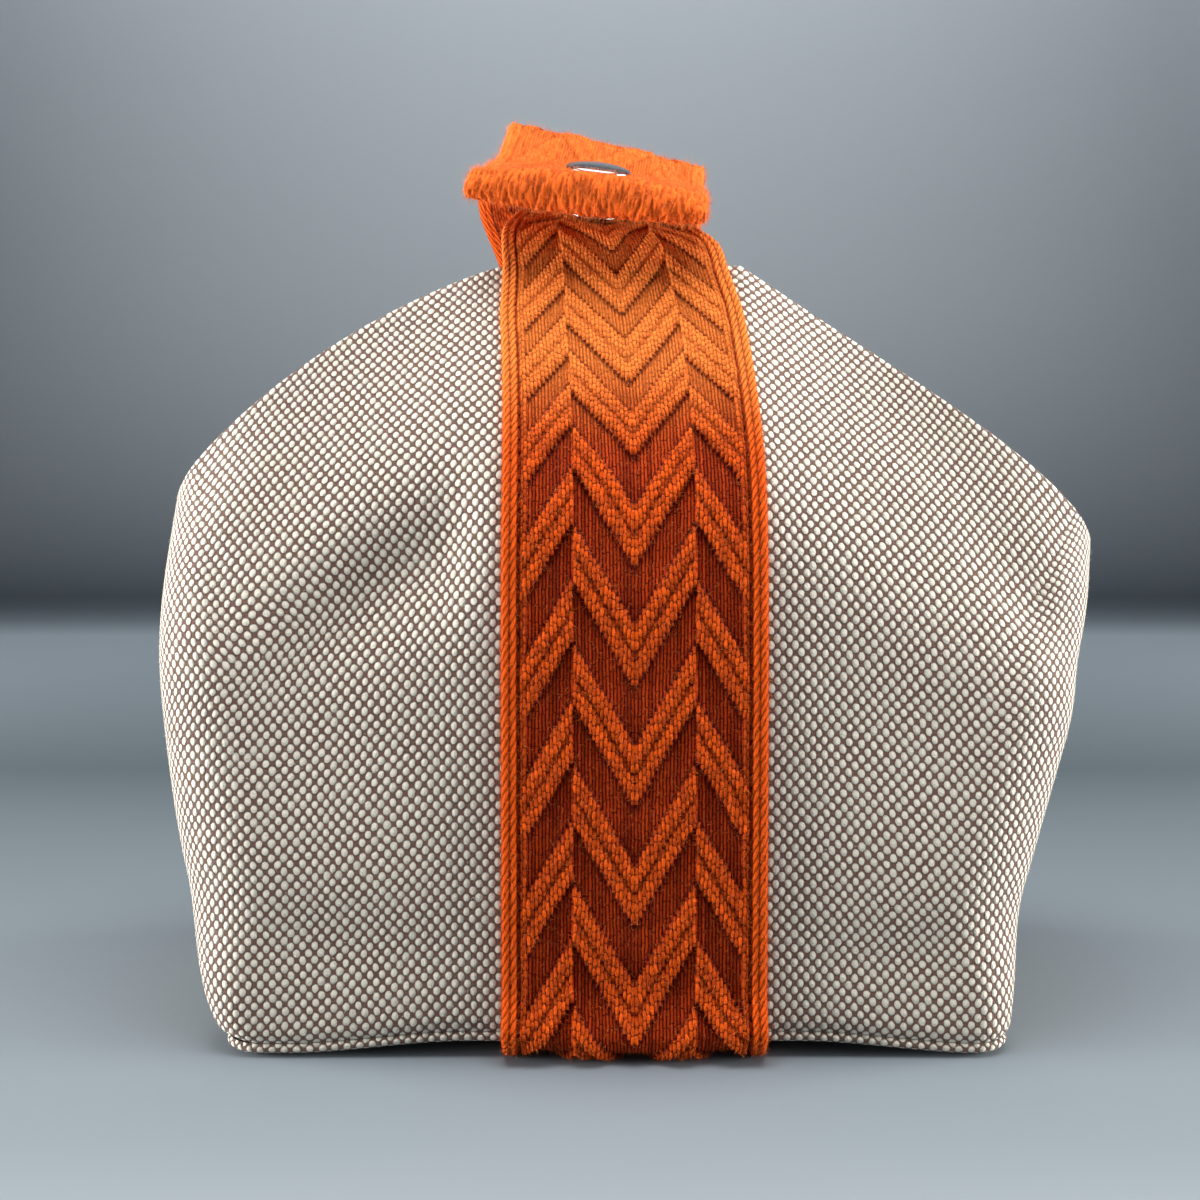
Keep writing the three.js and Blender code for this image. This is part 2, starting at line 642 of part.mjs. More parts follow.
const cloth = (color) => new THREE.MeshStandardMaterial({ color, roughness: 0.9, metalness: 0 });
const canvas = cloth(0xb3a898);
const webbingOrange = cloth(0xc4541c);
const lining = cloth(0x8a7d6c);
const boardGrey = cloth(0x55504a);
const steel = new THREE.MeshStandardMaterial({ color: 0xb9bcc0, roughness: 0.25, metalness: 1 });

// Assembly

function mesh(name, geometry, material) {
  const made = new THREE.Mesh(geometry, material.clone());
  made.name = name;
  return made;
}

const base = new THREE.Group();
base.add(mesh('base_panel', baseTray(), canvas));
base.add(mesh('base_board', baseSheet(SHEET_INSET, BOARD_BOTTOM, BOARD_THICKNESS), boardGrey));
base.add(mesh('base_lining', baseSheet(SHEET_INSET, BASE_LINING_BOTTOM, LINING_THICKNESS), lining));
base.add(mesh('base_strap', webbing(baseStrapStops()), webbingOrange));

const frontWall = new THREE.Group();
frontWall.add(mesh('front_panel', wallPanel, canvas));
frontWall.add(mesh('front_lining', wallLining, lining));
frontWall.add(mesh('front_facing', wallFacing, canvas));
frontWall.add(mesh('front_strap', cut(webbing(frontStrapStops()), postHole()), webbingOrange));

const backWall = new THREE.Group();
backWall.add(mesh('back_panel', mirrored(wallPanel), canvas));
backWall.add(mesh('back_lining', mirrored(wallLining), lining));
backWall.add(mesh('back_facing', mirrored(wallFacing), canvas));
backWall.add(mesh('back_strap', webbing(backStrapStops()), webbingOrange));
backWall.add(mesh('slip_pocket', mirrored(pocketSheet), lining));
backWall.add(mesh('pocket_binding', mirrored(pocketBinding), webbingOrange));

const flap = new THREE.Group();
flap.add(mesh('flap_strap', cut(webbing(flapStops()), postHole()), webbingOrange));

const snap = new THREE.Group();
snap.position.copy(snapCentre);
snap.quaternion.setFromRotationMatrix(flapFrame);
snap.add(mesh('snap_cap', capGeometry(), steel));
snap.add(mesh('snap_socket', socketGeometry(), steel));
snap.add(mesh('socket_spring', springGeometry(), steel));
snap.add(mesh('snap_stud', studGeometry(), steel));
snap.add(mesh('stud_eyelet', eyeletGeometry(), steel));

const bag = new THREE.Group();
bag.name = 'vanity_bag';
bag.add(base, frontWall, backWall, flap, snap);

export default bag;
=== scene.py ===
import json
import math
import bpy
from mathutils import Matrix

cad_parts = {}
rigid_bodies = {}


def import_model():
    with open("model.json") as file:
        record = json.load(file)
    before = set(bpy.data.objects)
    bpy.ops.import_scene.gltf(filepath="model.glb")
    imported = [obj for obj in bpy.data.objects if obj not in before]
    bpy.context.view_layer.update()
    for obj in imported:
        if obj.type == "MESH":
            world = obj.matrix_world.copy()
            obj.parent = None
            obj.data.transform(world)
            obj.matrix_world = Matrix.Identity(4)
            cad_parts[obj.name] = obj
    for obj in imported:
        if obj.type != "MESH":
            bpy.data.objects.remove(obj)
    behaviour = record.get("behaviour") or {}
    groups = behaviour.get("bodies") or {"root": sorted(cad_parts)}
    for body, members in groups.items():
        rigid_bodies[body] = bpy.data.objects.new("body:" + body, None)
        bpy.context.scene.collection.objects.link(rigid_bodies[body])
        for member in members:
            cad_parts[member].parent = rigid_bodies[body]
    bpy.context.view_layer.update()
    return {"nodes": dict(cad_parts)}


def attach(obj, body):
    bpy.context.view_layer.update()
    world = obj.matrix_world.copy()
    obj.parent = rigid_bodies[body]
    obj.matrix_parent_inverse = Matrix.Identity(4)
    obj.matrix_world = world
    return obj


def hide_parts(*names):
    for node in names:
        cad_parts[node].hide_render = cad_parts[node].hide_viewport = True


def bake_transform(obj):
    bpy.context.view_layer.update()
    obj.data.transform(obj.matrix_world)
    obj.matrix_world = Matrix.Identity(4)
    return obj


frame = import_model()

# A canvas vanity bag with a wide chevron strap that runs under it, up both faces and over
# the mouth, where its end snaps down as a flap. Lengths are millimetres until a mesh is made.

from types import SimpleNamespace

import bmesh
import bpy
import numpy as np
from mathutils import Matrix

MM = 0.001


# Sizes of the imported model

FIT = 0.3
CANVAS_THICKNESS = 1.2
LINING_THICKNESS = 0.6
FACING_THICKNESS = 1.0
FACING_WIDTH = 22

BASE_DEPTH = 97
BASE_CORNER = 9
BODY_CORNER = 22
SEAM_HEIGHT = 6
BASE_DROP = 2.6
BASE_DROP_START = 34
BASE_DROP_END = 72

HEM_HEIGHT = 169.5
HEM_DROP_POWER = 14
FLARE_START = 0.05
MOUTH_DEPTH = 15
MOUTH_CORNER = 0.8 * MOUTH_DEPTH / 2
KNEE_HEIGHT = 50
BEND_HEIGHT = 118
BEND_SOFTNESS = 18

STRAP_WIDTH = 54
STRAP_THICKNESS = 2.8
STRAP_LEAN = 2
STRAP_SWAY = 7.8
SWAY_LATENESS = 3.6
STRAP_LEAVES = 10 / 15

SNAP_PLACE = np.array([-7.5, 8.5, HEM_HEIGHT + 25.3])
FLAP_SLOPE = 21
FLAP_ROLL = 8.5
FLAP_YAW = 5
FLAP_FRONT = 32
FLAP_CURL = 3.2
FLAP_ARCH = 5.6
FLAP_HINGE = 26.5
FLAP_TURN_IN = 12
FOLD_GAP = 2.9
TAB_BEND = 9
TAB_END = 8.5

CAP_DIAMETER = 16
CAP_HEIGHT = 2.2
CAP_RIM = 0.5
POST_DIAMETER = 3.2
SOCKET_DIAMETER = 13
SOCKET_HEIGHT = 2.8
SOCKET_PLATE = 0.9
STUD_FLANGE_DIAMETER = 12
STUD_FLANGE = 0.8
STUD_HEAD_DIAMETER = 6.2
STUD_NECK_DIAMETER = 5.4
STUD_HEIGHT = 2.0
STUD_CLEARANCE = 0.5
SNAP_GAP = 0.4
SPRING_WIRE = 0.6
EYELET_DIAMETER = 11
EYELET_THICKNESS = 0.8

POCKET_WIDTH = 116
POCKET_BOTTOM = 34
POCKET_TOP = 88
POCKET_THICKNESS = 0.6
BINDING_WIDTH = 6
BINDING_THICKNESS = 1.0

LEFT = SimpleNamespace(
    name="left", sign=-1, flat=STRAP_WIDTH / 2 + STRAP_LEAN, base=86.1,
    shoulder=107, height=116, flare=0.16, bulge=0.1, slope=0.23, power=1.71, drop=3.6)
RIGHT = SimpleNamespace(
    name="right", sign=1, flat=STRAP_WIDTH / 2 - STRAP_LEAN + FIT, base=79.2,
    shoulder=108.9, height=105.5, flare=1.11, bulge=-0.4, slope=0.66, power=3.04, drop=5.4)

STRAP_COLUMNS = 2
FRONT_COLUMNS = 6
CORNER_COLUMNS = 5
SIDE_COLUMNS = 2
EDGE_COLUMN = STRAP_COLUMNS + FRONT_COLUMNS + CORNER_COLUMNS + SIDE_COLUMNS


# Plain helpers

def mix(a, b, share):
    return a + (b - a) * share


def smooth(x, low, high):
    share = np.clip((x - low) / (high - low), 0, 1)
    return share * share * (3 - 2 * share)


def unit(vectors):
    return vectors / np.linalg.norm(vectors, axis=-1, keepdims=True)


def vec(x, y, z):
    return np.array([x, y, z], float)


# Nodes written as expressions

class Value:
    """A socket that takes part in Python expressions; each step adds a Math node."""

    def __init__(self, nodes, socket):
        self.nodes = nodes
        self.socket = socket

    def math(self, operation, *others):
        inputs = {i: value for i, value in enumerate((self, *others))}
        return self.nodes.add("ShaderNodeMath", {"operation": operation}, inputs)

    def flipped(self, operation, first):
        return self.nodes.add("ShaderNodeMath", {"operation": operation}, {0: first, 1: self})

    def __add__(self, other):
        return self.math("ADD", other)

    def __radd__(self, other):
        return self.flipped("ADD", other)

    def __sub__(self, other):
        return self.math("SUBTRACT", other)

    def __rsub__(self, other):
        return self.flipped("SUBTRACT", other)

    def __mul__(self, other):
        return self.math("MULTIPLY", other)

    def __rmul__(self, other):
        return self.flipped("MULTIPLY", other)

    def __truediv__(self, other):
        return self.math("DIVIDE", other)

    def __rtruediv__(self, other):
        return self.flipped("DIVIDE", other)

    def __lt__(self, other):
        return self.math("LESS_THAN", other)

    def __gt__(self, other):
        return self.math("GREATER_THAN", other)

    def __abs__(self):
        return self.math("ABSOLUTE")

    def fract(self):
        return self.math("FRACT")

    def floor(self):
        return self.math("FLOOR")

    def root(self):
        return self.math("SQRT")

    def most(self, other):
        return self.math("MAXIMUM", other)

    def least(self, other):
        return self.math("MINIMUM", other)

    def eased(self, low, high):
        settings = {"interpolation_type": "SMOOTHSTEP"}
        return self.nodes.add("ShaderNodeMapRange", settings, {0: self, 1: low, 2: high})

    def dome(self):
        """A half round over each turn of a share from 0 to 1"""
        off = self * 2 - 1
        return (1 - off * off).most(0).root()


class Nodes:
    """Adds nodes to one tree."""

    def __init__(self, tree):
        self.tree = tree

    def add(self, kind, settings=(), inputs=(), output=0):
        node = self.tree.nodes.new(kind)
        for name, value in dict(settings).items():
            if name == "stops":
                self.set_stops(node.color_ramp, value)
            else:
                setattr(node, name, value)
        for key, value in dict(inputs).items():
            if isinstance(value, Value):
                self.tree.links.new(value.socket, node.inputs[key])
            else:
                node.inputs[key].default_value = value
        return Value(self, node.outputs[output]) if node.outputs else node

    def set_stops(self, ramp, stops):
        while len(ramp.elements) < len(stops):
            ramp.elements.new(1)
        for element, (place, colour) in zip(ramp.elements, stops):
            element.position = place
            element.color = colour

    def other(self, value, output):
        return Value(self, value.socket.node.outputs[output])

    def mixed(self, share, first, second):
        return self.add("ShaderNodeMix", {"data_type": "RGBA"}, {0: share, 6: first, 7: second}, 2)

    def shaded(self, colour, share):
        """A colour made darker or lighter by a number"""
        grey = self.add("ShaderNodeCombineColor", (), {0: share, 1: share, 2: share})
        return self.add("ShaderNodeMix", {"data_type": "RGBA", "blend_type": "MULTIPLY"},
                        {0: 1.0, 6: colour, 7: grey}, 2)

    def measured(self, name):
        """A number kept at a piece's points, read by a material"""
        return self.add("ShaderNodeAttribute", {"attribute_name": name}, (), "Fac")

    def kept(self, name):
        """A number kept at a piece's points, read by a geometry tree"""
        return self.add("GeometryNodeInputNamedAttribute", {"data_type": "FLOAT"}, {"Name": name})

    def object_place(self):
        return self.add("ShaderNodeTexCoord", (), (), "Object")

    def noise(self, scale, detail=2.0, place=None):
        where = place or self.object_place()
        return self.add("ShaderNodeTexNoise", (), {"Vector": where, "Scale": scale, "Detail": detail})

    def triple(self, x, y, z):
        return self.add("ShaderNodeCombineXYZ", (), {0: x, 1: y, 2: z})

    def chance(self, number):
        """A random share for each whole number"""
        return self.add("ShaderNodeTexWhiteNoise", {"noise_dimensions": "1D"}, {"W": number})

    def chance_of_pair(self, first, second):
        """A random share for each pair of whole numbers"""
        return self.add("ShaderNodeTexWhiteNoise", {"noise_dimensions": "2D"},
                        {"Vector": self.triple(first, second, 0.0)})


def colour(red, green, blue):
    """A colour given in screen values, made linear"""
    shares = [value / 255 for value in (red, green, blue)]
    return tuple(s / 12.92 if s <= 0.04045 else ((s + 0.055) / 1.055) ** 2.4 for s in shares) + (1.0,)


def finish(name, fixed, made):
    """A material: fixed are the shader's own numbers, made returns the sockets that vary."""
    material = bpy.data.materials.new(name)
    material.use_nodes = True
    tree = material.node_tree
    tree.nodes.clear()
    nodes = Nodes(tree)
    inputs = dict(fixed)
    inputs.update(made(nodes))
    shader = nodes.add("ShaderNodeBsdfPrincipled", (), inputs)
    nodes.add("ShaderNodeOutputMaterial", (), {"Surface": shader})
    return material


def bumped(nodes, height):
    """A normal from a height in millimetres"""
    return nodes.add("ShaderNodeBump", (), {"Height": height, "Strength": 1.0, "Distance": MM})


# Chevron pattern of the webbing, shared by its relief and its finish

CHEVRON_PEAK = 12.4
CHEVRON_SLOPE = 1.68
CHEVRON_PERIOD = 24.4
CHEVRON_STEP = 11.0
CHEVRON_START = 10.4
CORD_BAND = 0.52
NAP_SPREAD = 0.1
SIDE_CORD = 21.8
GROOVE_LINE = 23.5
GROOVE_WIDTH = 0.6
BORDER_CORD = 1.75
CORD_RISE = 1.5
PATTERN_WANDER = 1.4
GRAIN_WIDTH = 0.78
GRAIN_LENGTH = 1.9
STREAK_WIDTH = 0.9
STREAK_LENGTH = 4.5
TWIST_PITCH = 2.3
TWIST_SLANT = 2.2
TWIST_STAGGER = 0.4
WANDER_SCALE = 95
DRIFT_SCALE = 420
LUMP_DRIFT = 0.6
ROW_DRIFT = 1.6
TWIST_DRIFT = 0.8
SIDE_CORD_RISE = 0.7
SHADE_RISE = 0.12
SHADE_FALL = 0.08
FLAP_SOFT = 0.66


def chevron(nodes, along, across, soft, nap, place):
    """The pattern at a spot that lies some millimetres along and across the strap"""
    band_share = CORD_BAND + NAP_SPREAD * nap
    wander = nodes.noise(WANDER_SCALE, 1.0, place) - 0.5
    drift = nodes.noise(DRIFT_SCALE, 2.0, place) - 0.5
    out = abs(across)
    lump = (out + drift * LUMP_DRIFT) / GRAIN_WIDTH
    line = (lump.floor() + 0.5) * GRAIN_WIDTH
    off_peak = abs(line - CHEVRON_PEAK)
    outer = line > CHEVRON_PEAK
    run = along - CHEVRON_START + wander * PATTERN_WANDER
    run = run - off_peak * CHEVRON_SLOPE - outer * CHEVRON_STEP
    turn = (run / CHEVRON_PERIOD).fract()
    stagger = nodes.chance(lump.floor())
    row = (run + drift * ROW_DRIFT) / GRAIN_LENGTH + stagger
    streak_place = nodes.triple(across / STREAK_WIDTH, along / STREAK_LENGTH, 0.0)
    streak = nodes.noise(1.0, 3.0, streak_place).eased(0.34, 0.64)
    grain = (lump.fract().dome() + row.fract().dome() - 1).most(0).root()
    cords = turn < band_share
    side = out > SIDE_CORD
    border = out > GROOVE_LINE
    cord = (turn * 2 / band_share).fract()
    side_cord = (out - SIDE_CORD) / (GROOVE_LINE - SIDE_CORD)
    plump = (cords * cord.dome()).most(side * side_cord.dome() * SIDE_CORD_RISE)
    band = cords.most(side) * (1 - border)
    satin = (1 - band) * (1 - border)
    border_run = (out - GROOVE_LINE) / BORDER_CORD
    twist_run = (along + across * TWIST_SLANT) / TWIST_PITCH
    twist = (twist_run + border_run.floor() * TWIST_STAGGER + drift * TWIST_DRIFT).fract().dome()
    groove = 1 - (abs(out - GROOVE_LINE) / GROOVE_WIDTH).least(1)
    raised = band * (0.25 + 0.5 * plump + 0.25 * grain) + satin * nap * (0.2 + 0.3 * grain)
    edge = border * (0.45 + 0.3 * border_run.fract().dome() + 0.2 * twist)
    crisp = (raised + edge) * (1 - groove * (1 - 0.5 * nap))
    height = crisp * (1 - 0.8 * soft) + soft * (0.35 + 0.5 * streak)
    shade = (turn - band_share).eased(0, SHADE_RISE) * (1 - turn).eased(0, SHADE_FALL)
    return SimpleNamespace(
        drift=drift, lump=lump, row=row, grain=grain, band=band, satin=satin, border=border,
        plump=plump, border_run=border_run, twist=twist, groove=groove, height=height, shade=shade,
        streak=streak)


# Finishes

WARP_PITCH = 1.26
WEFT_PITCH = 1.48
WARP_WANDER = 1.2
WEFT_WANDER = 0.9
FLOAT_WIDTH = 0.62
FLOAT_HEIGHT = 0.66
FLOAT_UNEVEN = 0.16
FLOAT_RAGGED = 0.6
CREAM = colour(243, 236, 220)
GROUND = colour(108, 81, 69)


def canvas_finish(nodes):
    wander = nodes.noise(70, 1.0)
    stray = nodes.noise(110, 2.0)
    across = (nodes.measured("across") + (wander - 0.5) * WARP_WANDER) / WARP_PITCH
    along = (nodes.measured("along") + (stray - 0.5) * WEFT_WANDER) / WEFT_PITCH
    rise = (across + along) / 2 + 0.5
    fall = (across - along) / 2 + 0.5
    off_rise = rise.fract() - 0.5
    off_fall = fall.fract() - 0.5
    beside = (off_rise + off_fall) / FLOAT_WIDTH
    above = (off_rise - off_fall) / FLOAT_HEIGHT
    reach = (beside * beside + above * above).root()
    each = nodes.chance_of_pair(rise.floor(), fall.floor())
    ragged = nodes.noise(950, 2.0)
    brink = reach + FLOAT_UNEVEN * (each - 0.5) + FLOAT_RAGGED * (ragged - 0.5)
    float_thread = 1 - brink.eased(0.8, 1.02)
    fibre = nodes.noise(2600, 3.0)
    mottle = nodes.noise(38, 3.0)
    crown = (1 - reach * reach).most(0).root()
    # Each float is painted lighter at its crown and darker towards its rim, painted shade of its
    # rounding.
    cream = nodes.shaded(CREAM, 0.5 + 0.28 * crown + 0.12 * each + 0.4 * (fibre - 0.5))
    ground = nodes.shaded(GROUND, 0.66 + 0.6 * fibre + 0.3 * (mottle - 0.5))
    height = crown * (0.48 + 0.10 * each) + (fibre - 0.5) * 0.3
    return {"Base Color": nodes.mixed(float_thread, ground, cream),
            "Normal": bumped(nodes, height)}


# DEEP_ORANGE is the webbing's darkest tone, where its painted shade goes; PALE_ORANGE is the paler orange
# of the flap and of the painted top light up the strap.
CORD_ORANGE = colour(242, 92, 12)
SATIN_ORANGE = colour(226, 74, 14)
DEEP_ORANGE = colour(82, 4, 0)
PALE_ORANGE = colour(255, 142, 62)
THREAD_PITCH = 0.72
FLOAT_LENGTH = 3.6


def webbing_finish(nodes):
    along = nodes.measured("along")
    across = nodes.measured("across")
    soft = nodes.measured("soft")
    nap = nodes.measured("nap")
    spot = chevron(nodes, along, across, soft, nap, nodes.object_place())
    grain, twist = spot.grain, spot.twist
    luck = nodes.chance_of_pair(spot.lump.floor(), spot.row.floor())
    fibre = nodes.noise(2300, 3.0)
    column = (across + spot.drift * 0.4) / THREAD_PITCH
    chance = nodes.chance(column.floor())
    dash = (along / FLOAT_LENGTH + chance * 7).fract().dome().eased(0, 0.5)
    stroke = column.fract().dome().eased(0.4, 1.0) * dash

    # Painted top light: up the strap the satin and cords are painted lighter. Painted shade: the cords
    # are darker between their yarn loops and towards their sides, and the satin is darker between its
    # floats, next to the cords and between the gathered yarns.
    lit = 0.04 + 0.66 * nap
    cord_tone = 0.05 + 0.95 * grain.eased(0.08, 0.85) * (0.45 + 0.55 * luck)
    cord_tone = cord_tone * (0.2 + 0.8 * spot.plump)
    cord_tone = cord_tone + (0.95 - cord_tone) * nap * 0.42
    satin_tone = (lit + (1 - lit) * stroke * (0.4 + 0.6 * chance)) * (0.1 + 0.9 * spot.shade)
    satin_tone = satin_tone * (1 - 0.45 * nap * (1 - grain))
    # Painted shade between the border cords and between their twists.
    border_tone = (0.1 + 0.9 * twist) * (0.25 + 0.75 * spot.border_run.fract().dome())
    patterned = spot.band * cord_tone + spot.satin * satin_tone + spot.border * border_tone
    lip = (soft - FLAP_SOFT).most(0) / (1 - FLAP_SOFT)
    # The flap's streaks are its worn weave; on the lip the tone is also lower, painted shade on the
    # roll's front and underside.
    wear_and_lip_shade = 0.66 - 0.28 * lip + (0.26 + 0.36 * lip) * spot.streak + 0.08 * stroke
    # Painted shade darkens the grooves, less so up the strap. Up the strap the webbing is painted lighter
    # and paler, a painted top light; the flap is lighter and paler too, the lip less pale.
    tone = patterned * (1 - soft) * (1 - spot.groove * (0.85 - 0.5 * nap)) + wear_and_lip_shade * soft
    lively = (tone * (0.98 + 0.14 * soft.most(nap)) + (fibre - 0.5) * 0.5).most(0).least(1)
    thread = nodes.mixed(spot.satin * (1 - soft) * (1 - 0.6 * nap), CORD_ORANGE, SATIN_ORANGE)
    thread = nodes.mixed(soft.most(nap) * (0.8 - 0.5 * lip), thread, PALE_ORANGE)
    height = (spot.band * (1 - soft) * grain * 0.4 + spot.satin * (1 - soft) * stroke * 0.4
              + soft * spot.streak * 0.4 + spot.border * (1 - soft) * twist * 0.3 + (fibre - 0.5) * 0.3)
    return {"Base Color": nodes.mixed(lively, DEEP_ORANGE, thread), "Normal": bumped(nodes, height)}


LINING_BEIGE = colour(206, 192, 170)
BINDING_ORANGE = colour(214, 92, 30)
THREAD_BROWN = colour(150, 50, 14)
ORANGE_FIBRE = colour(244, 128, 52)
CREAM_FIBRE = colour(244, 240, 230)
METAL_GREY = colour(156, 162, 168)
BOARD_GREY = colour(98, 92, 84)
TWILL_PITCH = 1.1
LINING_THREAD = 0.55
BINDING_RIB = 1.0


def lining_finish(nodes):
    across = nodes.measured("across")
    along = nodes.measured("along")
    twill = ((across + along) / TWILL_PITCH).fract().dome()
    thread = (across / LINING_THREAD).fract().dome()
    fibre = nodes.noise(1800, 3.0)
    patch = nodes.noise(30, 3.0)
    tone = 0.74 + 0.14 * twill + 0.08 * thread + 0.10 * (fibre - 0.5) + 0.16 * (patch - 0.5)
    height = twill * 0.10 + thread * 0.05 + (fibre - 0.5) * 0.05
    return {"Base Color": nodes.shaded(LINING_BEIGE, tone), "Normal": bumped(nodes, height)}


def binding_finish(nodes):
    across = nodes.measured("across")
    rib = (across / BINDING_RIB).fract().dome()
    fibre = nodes.noise(2000, 3.0)
    tone = 0.66 + 0.30 * rib + 0.2 * (fibre - 0.5)
    return {"Base Color": nodes.shaded(BINDING_ORANGE, tone),
            "Normal": bumped(nodes, rib * 0.18 + (fibre - 0.5) * 0.08)}


def thread_finish(nodes):
    fibre = nodes.noise(3200, 2.0)
    tone = 0.75 + 0.5 * (fibre - 0.5)
    return {"Base Color": nodes.shaded(THREAD_BROWN, tone), "Normal": bumped(nodes, fibre * 0.08)}


def fibre_finish(base):
    def made(nodes):
        patch = nodes.noise(900, 1.0)
        return {"Base Color": nodes.shaded(base, 0.8 + 0.4 * (patch - 0.5))}
    return made


def metal_finish(nodes):
    scuff = nodes.noise(900, 4.0)
    cloud = nodes.noise(160, 2.0)
    tone = 0.92 + 0.12 * (cloud - 0.5)
    return {"Base Color": nodes.shaded(METAL_GREY, tone),
            "Roughness": 0.16 + 0.16 * scuff * cloud,
            "Normal": bumped(nodes, scuff * 0.004)}


def board_finish(nodes):
    pulp = nodes.noise(700, 4.0)
    tone = 0.8 + 0.4 * (pulp - 0.5)
    return {"Base Color": nodes.shaded(BOARD_GREY, tone), "Roughness": 0.7 + 0.2 * pulp,
            "Normal": bumped(nodes, pulp * 0.05)}


canvas = finish("woven_canvas", {"Roughness": 0.93, "Specular IOR Level": 0.18, "Sheen Weight": 0.12,
                                 "Sheen Roughness": 0.6}, canvas_finish)
webbing_orange = finish("chevron_webbing", {"Roughness": 0.85, "Specular IOR Level": 0.12},
                        webbing_finish)
lining = finish("twill_lining", {"Roughness": 0.88, "Specular IOR Level": 0.2}, lining_finish)
binding = finish("ribbed_binding", {"Roughness": 0.8, "Specular IOR Level": 0.2}, binding_finish)
thread = finish("sewing_thread", {"Roughness": 0.9, "Specular IOR Level": 0.1}, thread_finish)
orange_fibre = finish("orange_fibre", {"Roughness": 0.9}, fibre_finish(ORANGE_FIBRE))
cream_fibre = finish("cream_fibre", {"Roughness": 0.9}, fibre_finish(CREAM_FIBRE))
metal = finish("snap_metal", {"Metallic": 1.0}, metal_finish)
board = finish("base_board", {}, board_finish)


# Meshes

def set_down(name, data):
    """A new object in the scene"""
    made = bpy.data.objects.new(name, data)
    bpy.context.scene.collection.objects.link(made)
    return made


def shade_smooth(mesh):
    mesh.polygons.foreach_set("use_smooth", [True] * len(mesh.polygons))


def piece_of(name, points, faces, material, values=()):
    """A piece from points in millimetres, with numbers kept at its points for the patterns"""
    mesh = bpy.data.meshes.new(name)
    mesh.from_pydata((np.asarray(points) * MM).tolist(), [], [list(map(int, face)) for face in faces])
    for key, numbers in dict(values).items():
        layer = mesh.attributes.new(key, "FLOAT", "POINT")
        layer.data.foreach_set("value", np.asarray(numbers, np.float32).ravel())
    shell = bmesh.new()
    shell.from_mesh(mesh)
    bmesh.ops.recalc_face_normals(shell, faces=shell.faces)
    shell.to_mesh(mesh)
    shell.free()
    shade_smooth(mesh)
    mesh.materials.append(material)
    return set_down(name, mesh)


def grid_faces(rows, columns, first=0):
    index = first + np.arange(rows * columns).reshape(rows, columns)
    return np.stack([index[:-1, :-1], index[:-1, 1:], index[1:, 1:], index[1:, :-1]], -1).reshape(-1, 4)


def rim_walk(rows, columns):
    """Rows and columns of a grid's border, once round"""
    down = [(r, columns - 1) for r in range(rows - 1)]
    right = [(0, c) for c in range(columns - 1)]
    left = [(rows - 1, c) for c in range(columns - 1, 0, -1)]
    up = [(r, 0) for r in range(rows - 1, 0, -1)]
    walk = right + down + left + up
    return np.array([r for r, c in walk]), np.array([c for r, c in walk])


RIM_ROUND = 0.32


def thick_cloth(name, outer, inner, across, along, material):
    """A closed layer between two grids of points, with a rounded rim"""
    rows, columns = across.shape
    r, c = rim_walk(rows, columns)
    near = np.clip(r, 1, rows - 2), np.clip(c, 1, columns - 2)
    outward = unit(outer[r, c] - outer[near])
    gap = np.linalg.norm(outer[r, c] - inner[r, c], axis=-1, keepdims=True)
    rim = (outer[r, c] + inner[r, c]) / 2 + outward * gap * RIM_ROUND
    count = rows * columns
    points = np.concatenate([outer.reshape(-1, 3), inner.reshape(-1, 3), rim])
    flat = r * columns + c
    after = np.roll(flat, -1)
    middle = 2 * count + np.arange(len(r))
    middle_after = np.roll(middle, -1)
    faces = np.concatenate([
        grid_faces(rows, columns), grid_faces(rows, columns, count),
        np.stack([flat, after, middle_after, middle], -1),
        np.stack([middle, middle_after, after + count, flat + count], -1)])
    values = {key: np.concatenate([grid.ravel(), grid.ravel(), grid[r, c]])
              for key, grid in (("across", across), ("along", along))}
    return piece_of(name, points, faces, material, values)


def through(made, group, sizes):
    """Sends a piece through a node tree and keeps the result as its plain mesh"""
    modifier = made.modifiers.new("shape", "NODES")
    modifier.node_group = group
    names = {item.name: item.identifier for item in group.interface.items_tree if item.in_out == "INPUT"}
    for name, value in sizes.items():
        modifier[names[name]] = value
    graph = bpy.context.evaluated_depsgraph_get()
    before = made.data
    result = bpy.data.meshes.new_from_object(made.evaluated_get(graph))
    made.modifiers.remove(modifier)
    made.data = result
    bpy.data.meshes.remove(before)
    result.name = made.name


def node_group(name, inputs):
    """An empty geometry tree with named inputs"""
    tree = bpy.data.node_groups.new(name, "GeometryNodeTree")
    tree.interface.new_socket("Geometry", in_out="OUTPUT", socket_type="NodeSocketGeometry")
    tree.interface.new_socket("Geometry", in_out="INPUT", socket_type="NodeSocketGeometry")
    for label, kind in inputs:
        tree.interface.new_socket(label, in_out="INPUT", socket_type="NodeSocket" + kind)
    nodes = Nodes(tree)
    start = nodes.add("NodeGroupInput")
    labels = ["Geometry"] + [label for label, kind in inputs]
    sockets = {label: nodes.other(start, label) for label in labels}
    return tree, nodes, sockets


def close_group(nodes, geometry, material):
    """Ends a tree with plain geometry in its finish"""
    whole = nodes.add("GeometryNodeRealizeInstances", (), {"Geometry": geometry})
    dressed = nodes.add("GeometryNodeSetMaterial", (), {"Geometry": whole, "Material": material})
    nodes.add("NodeGroupOutput", (), {"Geometry": dressed})


